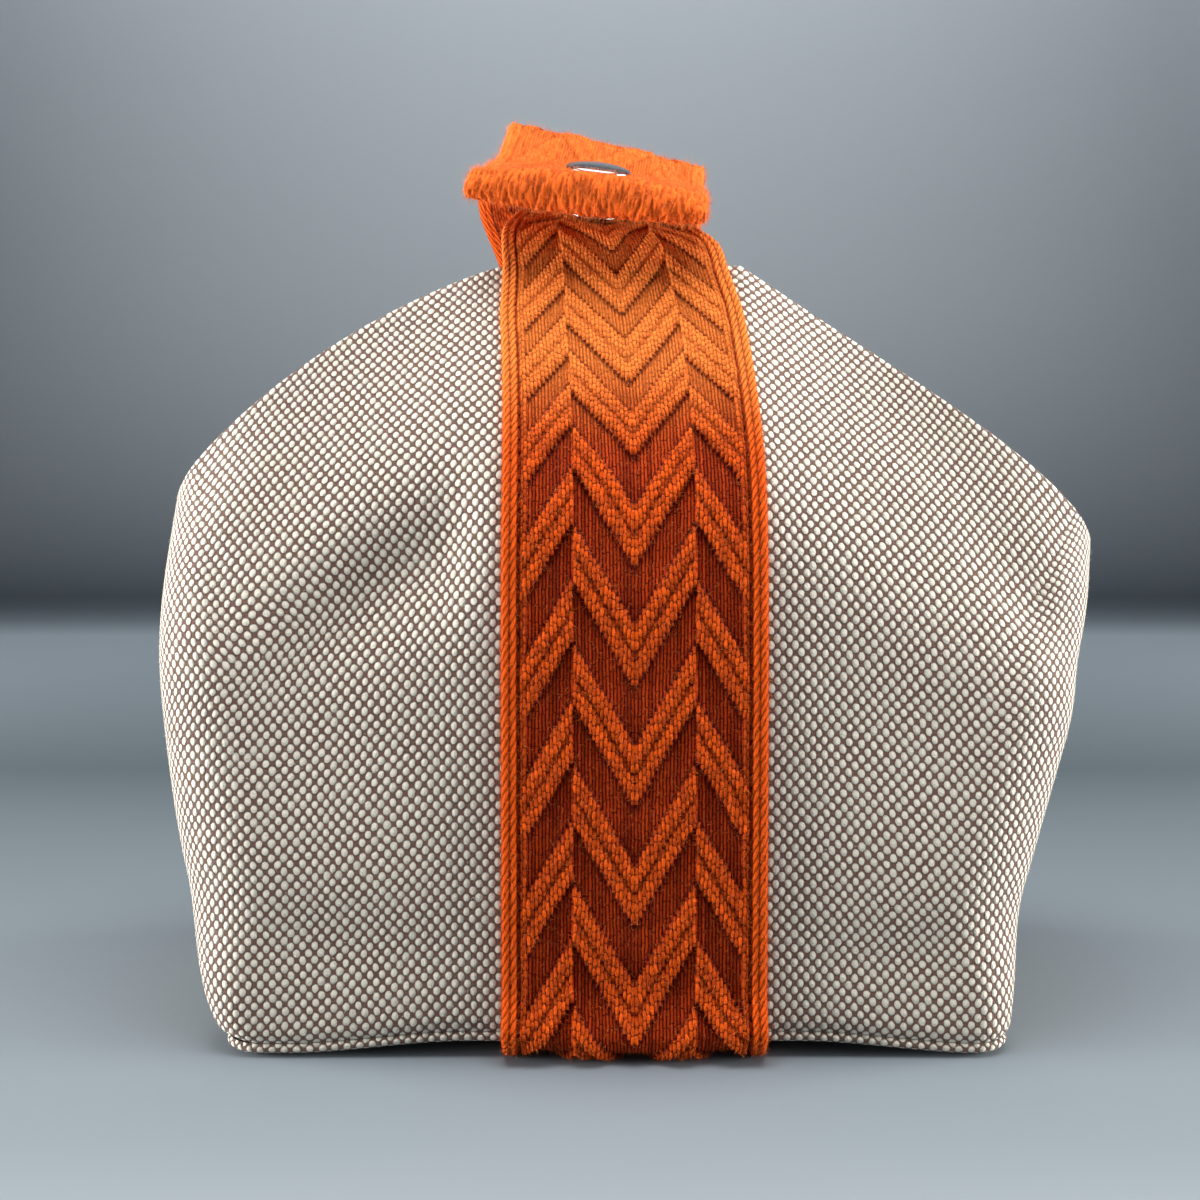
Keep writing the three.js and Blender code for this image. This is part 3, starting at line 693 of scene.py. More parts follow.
def relief_group():
    """Presses the chevron cords and the selvedge cords into the strap's outer face."""
    tree, nodes, sockets = node_group("chevron_relief", [("Cord rise", "Float"), ("Finish", "Material")])
    spot = chevron(nodes, nodes.kept("along"), nodes.kept("across"), nodes.kept("soft"),
                   nodes.kept("nap"), nodes.add("GeometryNodeInputPosition"))
    depth = (spot.height - 1) * nodes.kept("relief") * sockets["Cord rise"]
    normal = nodes.add("GeometryNodeInputNormal")
    offset = nodes.add("ShaderNodeVectorMath", {"operation": "SCALE"}, {
        "Vector": normal, "Scale": depth})
    shaped = nodes.add("GeometryNodeSetPosition", (), {
        "Geometry": sockets["Geometry"], "Offset": offset})
    close_group(nodes, shaped, sockets["Finish"])
    return tree


def stitch_group():
    """Lays stitches end to end along the edges of a mesh."""
    tree, nodes, sockets = node_group("stitch_row", [
        ("Pitch", "Float"), ("Length", "Float"), ("Thickness", "Float"), ("Finish", "Material")])
    path = nodes.add("GeometryNodeMeshToCurve", (), {"Mesh": sockets["Geometry"]})
    points = nodes.add("GeometryNodeCurveToPoints", {"mode": "LENGTH"},
                       {"Curve": path, "Length": sockets["Pitch"]})
    turned = nodes.add("FunctionNodeAlignRotationToVector", {"axis": "X"},
                       {"Vector": nodes.other(points, "Tangent")})
    bead = nodes.add("GeometryNodeMeshUVSphere", (), {"Segments": 8, "Rings": 6, "Radius": 0.5})
    size = nodes.triple(sockets["Length"], sockets["Thickness"], sockets["Thickness"])
    placed = nodes.add("GeometryNodeInstanceOnPoints", (), {
        "Points": points, "Instance": bead, "Rotation": turned, "Scale": size})
    close_group(nodes, placed, sockets["Finish"])
    return tree


FIBRE_TILT = 1.1
FIBRE_SPIN = 6.28
SHORTEST_FIBRE = 0.4
FIBRE_SIZE_SEED = 7


def fibre_group():
    """Scatters short loose fibres that stand off a cloth's faces."""
    tree, nodes, sockets = node_group("loose_fibres", [
        ("Density", "Float"), ("Length", "Float"), ("Radius", "Float"), ("Seed", "Int"),
        ("Finish", "Material")])
    points = nodes.add("GeometryNodeDistributePointsOnFaces", {"distribute_method": "RANDOM"}, {
        "Mesh": sockets["Geometry"], "Density": sockets["Density"] * (1 - nodes.kept("bare")),
        "Seed": sockets["Seed"]})
    tilt = nodes.add("FunctionNodeRandomValue", {"data_type": "FLOAT_VECTOR"}, {
        0: (-FIBRE_TILT, -FIBRE_TILT, 0.0), 1: (FIBRE_TILT, FIBRE_TILT, FIBRE_SPIN),
        "Seed": sockets["Seed"]})
    lean = nodes.add("FunctionNodeEulerToRotation", (), {"Euler": tilt})
    turned = nodes.add("FunctionNodeRotateRotation", {"rotation_space": "LOCAL"}, {
        "Rotation": nodes.other(points, "Rotation"), "Rotate By": lean})
    hair = nodes.add("GeometryNodeMeshCone", {"fill_type": "NONE"}, {
        "Vertices": 3, "Radius Top": 0.0, "Radius Bottom": sockets["Radius"],
        "Depth": sockets["Length"]})
    size = nodes.add("FunctionNodeRandomValue", {"data_type": "FLOAT"}, {
        2: SHORTEST_FIBRE, 3: 1.0, "Seed": FIBRE_SIZE_SEED}, 1)
    placed = nodes.add("GeometryNodeInstanceOnPoints", (), {
        "Points": points, "Instance": hair, "Rotation": turned, "Scale": size})
    close_group(nodes, placed, sockets["Finish"])
    return tree


# Wall surface: a column counts out from the middle, v runs from the base seam to the hem

WALL_BOTTOM = SEAM_HEIGHT + FIT
WALL_RISE = HEM_HEIGHT - WALL_BOTTOM
KNEE = (KNEE_HEIGHT - WALL_BOTTOM) / WALL_RISE

# Makes the swell v * v * (1 - v) reach 1 where it is greatest
SWELL_SCALE = 27 / 4


def half_outline(end, column, half_length, half_depth, corner):
    """One end of a level outline: x out from the middle, y out from the centre line"""
    strap = np.clip(column / STRAP_COLUMNS, 0, 1)
    face = np.clip((column - STRAP_COLUMNS) / FRONT_COLUMNS, 0, 1)
    turn = np.clip((column - STRAP_COLUMNS - FRONT_COLUMNS) / CORNER_COLUMNS, 0, 1) * np.pi / 2
    side = np.clip((column - EDGE_COLUMN + SIDE_COLUMNS) / SIDE_COLUMNS, 0, 1)
    x = end.flat * strap + (half_length - corner - end.flat) * face + corner * np.sin(turn)
    y = half_depth - corner * (1 - np.cos(turn)) - (half_depth - corner - FIT / 2) * side
    return x, y


def hem_height(end, x):
    """The hem slopes from the strap to the shoulder and drops at its end."""
    out = np.maximum(x - end.flat, 0)
    reach = end.shoulder - end.flat
    fall = HEM_HEIGHT - end.height - end.slope * reach - end.drop
    share = out / reach
    return HEM_HEIGHT - end.slope * out - fall * share ** end.power - end.drop * share ** HEM_DROP_POWER


def flare_share(end, v):
    """How far an end has widened from the base to the shoulder"""
    foot = FLARE_START ** end.flare
    return ((v + FLARE_START) ** end.flare - foot) / ((1 + FLARE_START) ** end.flare - foot)


def past_bend(height):
    """A height above the bend, eased so that the wall bends softly"""
    past = height - BEND_HEIGHT
    return (past + np.hypot(past, BEND_SOFTNESS)) / 2


def lean_share(v):
    """How far the wall has leaned in from the base to the mouth"""
    start = past_bend(WALL_BOTTOM)
    return (past_bend(WALL_BOTTOM + v * WALL_RISE) - start) / (past_bend(HEM_HEIGHT) - start)


def wall_place(end, column, v):
    """A point on the outer face of the front wall"""
    lean = lean_share(v)
    half_depth = mix(BASE_DEPTH, MOUTH_DEPTH, lean) / 2
    corner = mix(mix(BASE_CORNER, BODY_CORNER, smooth(v, 0, KNEE)), MOUTH_CORNER, lean)
    swell = end.bulge * SWELL_SCALE * v * v * (1 - v)
    half_length = mix(end.base, end.shoulder, flare_share(end, v)) + swell
    x, y = half_outline(end, column, half_length, half_depth, corner)
    hem_x, _ = half_outline(end, column, end.shoulder, MOUTH_DEPTH / 2, MOUTH_CORNER)
    return np.stack([end.sign * x, -y, mix(WALL_BOTTOM, hem_height(end, hem_x), v)], -1)


def wall_normal(end, column, v):
    """The way out of the front wall at that point"""
    step = 1e-3
    over = wall_place(end, np.minimum(column + step, EDGE_COLUMN), v)
    across = over - wall_place(end, np.maximum(column - step, 0), v)
    above = wall_place(end, column, np.minimum(v + step, 1))
    up = above - wall_place(end, column, np.maximum(v - step, 0))
    return unit(np.cross(across, up)) * end.sign


# Soft forms of the filled cloth: place x and z, turn, half length, half width, rise
FRONT_FORMS = [
    (-46, 102, 33, 28, 12, -5.6),
    (-66, 72, 20, 26, 22, -2.4),
    (-88, 112, 60, 18, 9, 1.2),
    (-60, 24, -8, 26, 8, -1.2),
    (88, 92, -52, 24, 8, -1.8),
    (62, 70, -30, 24, 20, -2.0),
    (60, 118, -35, 22, 9, 1.0),
    (56, 22, 6, 22, 7, -1.0),
]
BACK_FORMS = [
    (-70, 92, 40, 24, 9, -1.8),
    (-58, 52, 10, 24, 18, 1.6),
    (58, 100, -30, 24, 9, -2.0),
    (64, 56, -16, 26, 18, 1.5),
    (60, 24, 8, 24, 8, -1.1),
    (-56, 22, -6, 22, 7, -1.0),
]
FORMS_START = STRAP_WIDTH / 2 + 2
FORMS_FULL = STRAP_WIDTH / 2 + 14
SEAM_TUCK = 0.9
SEAM_REACH = 1.0
BASE_STRIP = 2.5
FOOT_REACH = 26
END_FULLNESS = 15
END_TAPER = 0.0033
FULL_FROM = 40
FULL_TO = 95


def base_underside(x):
    return STRAP_THICKNESS + FIT - BASE_DROP * smooth(np.abs(x), BASE_DROP_START, BASE_DROP_END)


def seam_line(x):
    """Height of the base seam, which hangs down towards the corners"""
    return base_underside(x) + BASE_STRIP


def soft_rise(place, forms):
    """How far the cloth stands out of the wall surface, or lies behind it"""
    x, z = place[..., 0], place[..., 2]
    rise = np.zeros_like(x)
    for centre_x, centre_z, turn, length, width, height in forms:
        c, s = math.cos(math.radians(turn)), math.sin(math.radians(turn))
        along = (x - centre_x) * c + (z - centre_z) * s
        beside = (z - centre_z) * c - (x - centre_x) * s
        rise += height * np.exp(-(along / length) ** 2 - (beside / width) ** 2)
    rise *= smooth(np.abs(x), FORMS_START, FORMS_FULL)
    return rise - SEAM_TUCK * np.exp(-((z - WALL_BOTTOM) / SEAM_REACH) ** 2)


def fuller_end(place, v):
    """The soft ends of the mouth stand further apart than in the solids and draw in as they do."""
    lean = lean_share(v)
    half_depth = mix(BASE_DEPTH, MOUTH_DEPTH, lean) / 2
    reach = END_FULLNESS * lean * smooth(np.abs(place[..., 0]), FULL_FROM, FULL_TO)
    swell = reach * -place[..., 1] / half_depth
    x = place[..., 0] * (1 - END_TAPER * swell)
    return np.stack([x, place[..., 1] - swell, place[..., 2]], -1)


def cloth_place(end, wall, columns, heights, depth):
    """A grid of points on a layer of a wall, some depth behind the outer face"""
    column, v = np.meshgrid(columns, heights)
    place = wall_place(end, column, v)
    forms = FRONT_FORMS if wall == "front" else BACK_FORMS
    near_seam = 1 - smooth(place[..., 2], WALL_BOTTOM, FOOT_REACH)
    foot = (WALL_BOTTOM - seam_line(place[..., 0])) * near_seam
    place = place + wall_normal(end, column, v) * (soft_rise(place, forms) - depth)[..., None]
    place = fuller_end(place, v)
    place[..., 2] -= foot
    if wall == "back":
        place[..., 1] *= -1
    return place


def lengths_over(place, axis):
    """Lengths from the first row or column of a grid of points"""
    steps = np.linalg.norm(np.diff(place, axis=axis), axis=-1)
    total = np.cumsum(steps, axis=axis)
    pad = [(1, 0) if axis == i else (0, 0) for i in range(total.ndim)]
    return np.pad(total, pad)


def follow_wall(piece):
    """Bakes the piece's placement into its mesh."""
    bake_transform(piece)


def wall_layer(name, end, wall, columns, heights, depth, thickness, material):
    """One end of a cloth layer of a wall"""
    outer = cloth_place(end, wall, columns, heights, depth)
    inner = cloth_place(end, wall, columns, heights, depth + thickness)
    across = lengths_over(outer[..., :2], 1) * end.sign
    along = lengths_over(outer, 0) + heights[0] * WALL_RISE
    return thick_cloth(f"{name}_{end.name}", outer, inner, across, along, material)


LINING_DEPTH = CANVAS_THICKNESS + FIT
POCKET_DEPTH = LINING_DEPTH + LINING_THICKNESS + FIT
FACING_FROM = 1 - FACING_WIDTH / WALL_RISE
LINING_TO = FACING_FROM - FIT / WALL_RISE
LINING_FROM = (STRAP_THICKNESS + FIT + CANVAS_THICKNESS) / WALL_RISE / 4

PANEL_COLUMNS = 91
PANEL_ROWS = 121
LINING_ROWS = 60
FACING_ROWS = 24
POCKET_COLUMNS = 40
POCKET_ROWS = 30
BINDING_ROWS = 7


def share_of(height):
    """A height in the middle of the wall as v"""
    return (height - WALL_BOTTOM) / WALL_RISE


def pocket_reach(end):
    """The column where the side of the pocket lies"""
    v = share_of((POCKET_BOTTOM + POCKET_TOP) / 2)
    inner = abs(wall_place(end, np.array(float(STRAP_COLUMNS)), v)[0])
    outer = abs(wall_place(end, np.array(float(STRAP_COLUMNS + FRONT_COLUMNS)), v)[0])
    return STRAP_COLUMNS + FRONT_COLUMNS * (POCKET_WIDTH / 2 - inner) / (outer - inner)


wall_columns = np.linspace(0, EDGE_COLUMN, PANEL_COLUMNS)
panel_heights = np.linspace(0, 1, PANEL_ROWS)
lining_heights = np.linspace(LINING_FROM, LINING_TO, LINING_ROWS)
facing_heights = np.linspace(FACING_FROM, 1, FACING_ROWS)
for wall in ("front", "back"):
    for end in (LEFT, RIGHT):
        panel = wall_layer(f"{wall}_canvas", end, wall, wall_columns, panel_heights,
                           0, CANVAS_THICKNESS, canvas)
        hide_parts(f"{wall}_panel")
        follow_wall(panel)

        sheet = wall_layer(f"{wall}_lining_cloth", end, wall, wall_columns[::2], lining_heights,
                           LINING_DEPTH, LINING_THICKNESS, lining)
        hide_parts(f"{wall}_lining")
        follow_wall(sheet)

        facing = wall_layer(f"{wall}_hem_facing", end, wall, wall_columns, facing_heights,
                            LINING_DEPTH, FACING_THICKNESS, canvas)
        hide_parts(f"{wall}_facing")
        follow_wall(facing)

binding_from = share_of(POCKET_TOP - BINDING_WIDTH)
pocket_heights = np.linspace(share_of(POCKET_BOTTOM), binding_from - FIT / WALL_RISE, POCKET_ROWS)
binding_heights = np.linspace(binding_from, share_of(POCKET_TOP), BINDING_ROWS)
for end in (LEFT, RIGHT):
    columns = np.linspace(0, pocket_reach(end), POCKET_COLUMNS)
    pocket = wall_layer("slip_pocket_cloth", end, "back", columns, pocket_heights,
                        POCKET_DEPTH, POCKET_THICKNESS, lining)
    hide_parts("slip_pocket")
    follow_wall(pocket)
    edge = wall_layer("pocket_edge", end, "back", columns, binding_heights,
                      POCKET_DEPTH, BINDING_THICKNESS, binding)
    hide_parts("pocket_binding")
    follow_wall(edge)


# Base: a shallow canvas tray, with a lining sheet over the stiffener board

BASE_FOLD = SEAM_HEIGHT - STRAP_THICKNESS - FIT
BOARD_THICKNESS = 1.5
BOARD_TOP = STRAP_THICKNESS + FIT + CANVAS_THICKNESS + FIT + BOARD_THICKNESS
LOOP_COLUMNS = 61
EDGE_TURNS = 9
TRAY_INSETS = [10, 20, 32, 44]
SHEET_INSETS = [0, 12, 26, 40]


def base_loop(inset):
    """Once round the base outline, drawn in: the front from left to right, then the back"""
    columns = np.linspace(0, EDGE_COLUMN, LOOP_COLUMNS)
    corner = max(BASE_CORNER - inset, FIT)
    halves = []
    for end in (LEFT, RIGHT):
        x, y = half_outline(end, columns, end.base - inset, BASE_DEPTH / 2 - inset, corner)
        halves.append(np.stack([end.sign * x, -y], -1))
    front = np.concatenate([halves[0][::-1], halves[1][1:]])
    back = front[::-1] * [1, -1]
    return np.concatenate([front, back])


def ring_faces(count, size, outer_count):
    """Faces round a sheet made of rings, the outer face's rings first, with both middles closed"""
    around = np.arange(size)
    after = np.roll(around, -1)
    column = np.arange(size // 2 - 1)
    across = size - 1 - column
    faces = []
    for i in range(count):
        j = (i + 1) % count
        if i != outer_count - 1:
            faces.append(np.stack([i * size + around, i * size + after,
                                   j * size + after, j * size + around], -1))
    for i in (outer_count - 1, outer_count):
        faces.append(i * size + np.stack([column, column + 1, across - 1, across], -1))
    return np.concatenate(faces)


def base_tray():
    """The canvas base with its turned-up edge, an outer and an inner face"""
    rings = []

    def ring(inset, height):
        loop = base_loop(inset)
        rings.append(np.column_stack([loop, height(loop[:, 0])]))

    outer_drop = BASE_STRIP - FIT / 2
    inner_drop = outer_drop - CANVAS_THICKNESS
    turns = np.linspace(0, np.pi / 2, EDGE_TURNS)
    for turn in turns:
        ring(BASE_STRIP * (1 - math.cos(turn)) + SEAM_TUCK * (1 - math.sin(turn)) ** 4,
             lambda x: seam_line(x) - FIT / 2 - outer_drop * math.sin(turn))
    for inset in TRAY_INSETS:
        ring(inset, base_underside)
    outer_count = len(rings)
    for inset in TRAY_INSETS[::-1]:
        ring(inset, lambda x: base_underside(x) + CANVAS_THICKNESS)
    for turn in turns[::-1]:
        ring(BASE_STRIP - (BASE_STRIP - CANVAS_THICKNESS) * math.cos(turn),
             lambda x: seam_line(x) - FIT / 2 - inner_drop * math.sin(turn))
    size = len(rings[0])
    half = size // 2
    rim = lengths_over(base_loop(0)[:half], 0)
    rim -= rim[half // 2]
    values = {"across": np.tile(np.concatenate([rim, rim[::-1]]), len(rings)),
              "along": -lengths_over(np.stack(rings), 0).ravel()}
    faces = ring_faces(len(rings), size, outer_count)
    return piece_of("base_tray", np.concatenate(rings), faces, canvas, values)


def base_sheet(name, inset, bottom, thickness, material):
    """A level sheet inside the base outline"""
    loops = [base_loop(inset + share) for share in SHEET_INSETS]
    count = len(loops)
    grid = np.stack(loops + loops[::-1])
    height = np.array([bottom] * count + [bottom + thickness] * count)
    level = np.broadcast_to(height[:, None, None], grid.shape[:2] + (1,))
    points = np.concatenate([grid, level], -1).reshape(-1, 3)
    faces = ring_faces(2 * count, len(loops[0]), count)
    return piece_of(name, points, faces, material, {"across": points[:, 0], "along": points[:, 1]})


tray = base_tray()
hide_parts("base_panel")
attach(tray, "base")

floor_lining = base_sheet("base_lining_cloth", BASE_FOLD + FIT, BOARD_TOP + FIT,
                          LINING_THICKNESS, lining)
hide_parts("base_lining")
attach(floor_lining, "base")

for slot in frame["nodes"]["base_board"].material_slots:
    slot.material = board


# Strap route: points of its outer face, from the tab under the flap to the flap's turned-under end

flap_turn = (Matrix.Rotation(-math.radians(FLAP_YAW), 3, "Z")
             @ Matrix.Rotation(math.radians(FLAP_SLOPE), 3, "X")
             @ Matrix.Rotation(math.radians(FLAP_ROLL), 3, "Y"))
flap_axes = np.array(flap_turn).T
flap_across, flap_back, flap_up = flap_axes
LEVEL = vec(1, 0, 0)
UPRIGHT = vec(0, 0, 1)

FLAP_UNDERSIDE = -(2 * STRAP_THICKNESS + FIT)
SOCKET_TOP = FLAP_UNDERSIDE - FIT
SOCKET_BOTTOM = SOCKET_TOP - SOCKET_HEIGHT
STUD_TOP = SOCKET_BOTTOM - SNAP_GAP
TAB_TOP = STUD_TOP - STUD_FLANGE - FIT
TAB_UNDERSIDE = TAB_TOP - STRAP_THICKNESS

SNAP_FLAT = 8
SNAP_TWIST = 0.8
SNAP_BOW = 0.3
CREST_BOW = 3.6
FOLD_BOW = 1.0
FOLD_TWIST = 5.4
FRONT_TWIST = -1.2
LIP_SAG = 3.8
LIP_PINCH = 1.2
LIP_HALF = 9
LIP_FADE = 5
TAB_ROLL = 0.3
TAB_NARROWING = 0.15
HEM_NARROWING = 0.37
TAB_SHIFT = 3.3
HEM_SHIFT = 3.9
SHIFT_START = 0.65
HEM_NARROW_FROM = 0.9
FREE_NARROW_FROM = 0.75
FOLD_NARROWING = 0.05
RISE_REACH = 0.5
FREE_REACH = 0.34
FOLD_REACH = 4.2
FOLD_LENGTH = 4.5
ROW_STEP = 0.55
SHORTEST_STEP = 1e-4
GATHER = 0.19
GATHER_HEIGHT = 122
GATHER_SOFTNESS = 6
UPPER_ZONE_FROM = -2
UPPER_ZONE_FULL = 30
WEAR_LENGTH = 10

# Folds of the strap by the floor, with the distances from the middle where they start and are full
STRAP_FOLD = 6
FOOT_LOW = 4
FOOT_BULGE = 2.6
BULGE_HEIGHT = 16
BULGE_FROM = 36
BULGE_FULL = 47
FOOT_RAISE = 2.2
RAISE_FROM = 44
RAISE_FULL = 49

# Points on each run of the strap, before its steps are made even
TAB_POINTS = 40
RISE_POINTS = 80
WALL_POINTS = 420
ROUND_POINTS = 24
BACK_POINTS = 300
FREE_POINTS = 200
FOLD_POINTS = 40
FLAP_POINTS = 160
LIP_POINTS = 50
TURNED_POINTS = 120


def flap_place(back, up):
    """A point in the middle of the strap's width, in the snap's own axes"""
    back, up = np.broadcast_arrays(np.asarray(back, float), np.asarray(up, float))
    return SNAP_PLACE + back[..., None] * flap_back + up[..., None] * flap_up


def strap_on_wall(v):
    """The middle of the strap's outer face on the front wall"""
    column = np.zeros_like(v)
    place = wall_place(RIGHT, column, v)
    return place + wall_normal(RIGHT, column, v) * (FIT + STRAP_THICKNESS)


def curve_between(start, start_way, end, end_way, reach, count):
    """A curve that leaves and arrives in given ways"""
    share = np.linspace(0, 1, count)[:, None]
    first = start + start_way * reach
    second = end - end_way * reach
    return (start * (1 - share) ** 3 + first * 3 * share * (1 - share) ** 2
            + second * 3 * share ** 2 * (1 - share) + end * share ** 3)


def widths_between(first, last, count):
    return unit(mix(first, last, np.linspace(0, 1, count)[:, None]))


FLAP_STATIONS = [-FLAP_FRONT, -SNAP_FLAT, SNAP_FLAT, FLAP_HINGE]


def flap_width(back):
    """The width's direction on the flap, which twists from the fold to the front edge"""
    twists = [FRONT_TWIST, -SNAP_TWIST, SNAP_TWIST, FOLD_TWIST]
    twist = np.radians(np.interp(back, FLAP_STATIONS, twists))
    return np.cos(twist)[..., None] * flap_across - np.sin(twist)[..., None] * flap_up


def flap_droop(back):
    """How far the two edges hang below the middle"""
    bow = np.interp(back, FLAP_STATIONS, [CREST_BOW, SNAP_BOW, SNAP_BOW, FOLD_BOW])
    return -bow[..., None] * flap_up


class Strap:
    """Collects the strap's route and evens out its steps."""

    def __init__(self):
        self.runs = []

    def add(self, points, widths, droop=None, narrow=None):
        count = len(points)
        widths = np.broadcast_to(widths, (count, 3))
        droop = np.zeros((count, 3)) if droop is None else droop
        narrow = np.ones(count) if narrow is None else narrow
        self.runs.append((points, widths, droop, narrow))

    def even(self):
        points, widths, droop, narrow = (np.concatenate(parts) for parts in zip(*self.runs))
        steps = np.linalg.norm(np.diff(points, axis=0), axis=1)
        keep = np.concatenate([[True], steps > SHORTEST_STEP])
        points, widths, droop, narrow = points[keep], widths[keep], droop[keep], narrow[keep]
        steps = np.linalg.norm(np.diff(points, axis=0), axis=1)
        length = np.concatenate([[0], np.cumsum(steps)])
        count = int(round(length[-1] / ROW_STEP)) + 1
        self.along = np.linspace(0, length[-1], count)

        def spread(values):
            return np.stack([np.interp(self.along, length, column) for column in values.T], -1)

        self.points = spread(points)
        self.widths = unit(spread(widths))
        self.droop = spread(droop)
        self.narrow = np.interp(self.along, length, narrow)
        way = np.gradient(self.points, axis=0)
        self.outward = unit(np.cross(way, self.widths))

    def row_near(self, place):
        return int(np.argmin(np.linalg.norm(self.points - place, axis=1)))


fold_axis = flap_place(FLAP_HINGE, FLAP_ARCH - STRAP_THICKNESS / 2)
fold_end = fold_axis + vec(0, STRAP_THICKNESS / 2, -FOLD_GAP)
front_turn = (LIP_SAG - FLAP_UNDERSIDE) / 2
front_run = FLAP_FRONT - front_turn


def flap_rise(back):
    """The flap curls up at its front edge and arches up to the fold."""
    back = np.asarray(back, float)
    return (FLAP_CURL * smooth(-back, SOCKET_DIAMETER / 2, front_run)
            + FLAP_ARCH * smooth(back, SOCKET_DIAMETER / 2, FLAP_HINGE))


def add_front_run(strap):
    """From the tab under the flap to the hem and down the front wall"""
    bend = flap_place(-TAB_BEND, TAB_TOP) + LEVEL * TAB_SHIFT
    v = np.linspace(1, 0, WALL_POINTS)
    wall = strap_on_wall(v)
    wall[:, 0] = -HEM_SHIFT * np.maximum((v - SHIFT_START) / (1 - SHIFT_START), 0) ** 2
    hem_way = unit(wall[0] - wall[3])
    reach = np.linalg.norm(bend - wall[0]) * RISE_REACH
    tab = np.linspace(TAB_END, -TAB_BEND, TAB_POINTS)
    tab_width = unit(mix(LEVEL, flap_across, TAB_ROLL))
    strap.add(flap_place(tab, TAB_TOP) + LEVEL * TAB_SHIFT, tab_width,
              narrow=np.full(TAB_POINTS, 1 - TAB_NARROWING))
    drawn_in = mix(HEM_NARROWING, 1, smooth(np.linspace(1, 0, RISE_POINTS), 0, 1))
    strap.add(curve_between(bend, -flap_back, wall[0], -hem_way, reach, RISE_POINTS),
              widths_between(tab_width, LEVEL, RISE_POINTS), narrow=1 - TAB_NARROWING * drawn_in)
    strap.add(wall, LEVEL, narrow=1 - TAB_NARROWING * HEM_NARROWING * smooth(v, HEM_NARROW_FROM, 1))


def add_base_run(strap):
    """Round the front fold, under the base and round the back fold"""
    middle = BASE_DEPTH / 2 + FIT + STRAP_THICKNESS - STRAP_FOLD
    turn = np.linspace(0, np.pi / 2, ROUND_POINTS)
    front = np.stack([np.zeros_like(turn), -middle - STRAP_FOLD * np.cos(turn),
                      STRAP_FOLD - STRAP_FOLD * np.sin(turn)], -1)
    strap.add(front, LEVEL)
    strap.add(front[::-1] * [1, -1, 1], LEVEL)


def add_back_run(strap):
    """Up the back wall, then free of it to the fold"""
    wall = strap_on_wall(np.linspace(0, STRAP_LEAVES, BACK_POINTS)) * [0, -1, 1]
    way = unit(wall[-1] - wall[-4])
    reach = np.linalg.norm(fold_end - wall[-1]) * FREE_REACH
    share = np.linspace(0, 1, FREE_POINTS)
    free = curve_between(wall[-1], way, fold_end, UPRIGHT, reach, FREE_POINTS)
    free[:, 0] -= STRAP_SWAY * np.sin(np.pi * share ** SWAY_LATENESS) ** 2
    strap.add(wall, LEVEL)
    strap.add(free, widths_between(LEVEL, flap_width(np.array(FLAP_HINGE)), FREE_POINTS),
              narrow=1 - FOLD_NARROWING * smooth(share, FREE_NARROW_FROM, 1))


def add_flap_run(strap):
    """Over the fold, along the flap, round its front edge and back under it"""
    start = FLAP_HINGE - FOLD_LENGTH
    top = flap_place(start, flap_rise(start))
    ahead = start - 0.5
    top_way = unit(flap_place(ahead, flap_rise(ahead)) - top)
    hinge = np.full(FOLD_POINTS, FLAP_HINGE)
    strap.add(curve_between(fold_end, UPRIGHT, top, top_way, FOLD_REACH, FOLD_POINTS),
              flap_width(np.array(FLAP_HINGE)),
              droop=flap_droop(hinge) * smooth(np.linspace(0, 1, FOLD_POINTS), 0, 1)[:, None],
              narrow=np.full(FOLD_POINTS, 1 - FOLD_NARROWING))
    back = np.linspace(start, -front_run, FLAP_POINTS)
    strap.add(flap_place(back, flap_rise(back)), flap_width(back), droop=flap_droop(back),
              narrow=1 - FOLD_NARROWING * smooth(back, -front_run, start))
    turn = np.linspace(0, np.pi, LIP_POINTS)
    back = -front_run - front_turn * np.sin(turn)
    crest = flap_rise(-front_run)
    edge = np.full(LIP_POINTS, -FLAP_FRONT)
    upper = (np.cos(turn) / 2 + 0.5)[:, None]
    strap.add(flap_place(back, crest - front_turn + front_turn * np.cos(turn)), flap_width(edge),
              droop=flap_droop(edge) * upper + LIP_PINCH * flap_up * (1 - upper))
    back = np.linspace(-front_run, FLAP_TURN_IN, TURNED_POINTS)
    near_lip = smooth(-back, SOCKET_DIAMETER / 2, front_run)
    strap.add(flap_place(back, FLAP_UNDERSIDE + flap_rise(back) - LIP_SAG * near_lip), flap_width(back),
              droop=LIP_PINCH * flap_up * near_lip[:, None])


def settle_foot(strap):
    """The folds by the floor bulge out, and the strap's edges stand a little higher there."""
    foot = 1 - smooth(strap.points[:, 2], FOOT_LOW, BULGE_HEIGHT)
    side = np.sign(strap.points[:, 1])
    out = np.abs(strap.points[:, 1])
    strap.points[:, 1] += side * FOOT_BULGE * foot * smooth(out, BULGE_FROM, BULGE_FULL)
    strap.droop[:, 2] += FOOT_RAISE * foot * smooth(out, RAISE_FROM, RAISE_FULL)


def strap_route():
    strap = Strap()
    add_front_run(strap)
    add_base_run(strap)
    add_back_run(strap)
    add_flap_run(strap)
    strap.even()
    settle_foot(strap)
    return strap


strap = strap_route()
fold_along = strap.along[strap.row_near(fold_end)]
lip_along = strap.along[strap.row_near(flap_place(-FLAP_FRONT, flap_rise(-front_run) - front_turn))]
flap_worn = smooth(strap.along, fold_along, fold_along + WEAR_LENGTH)
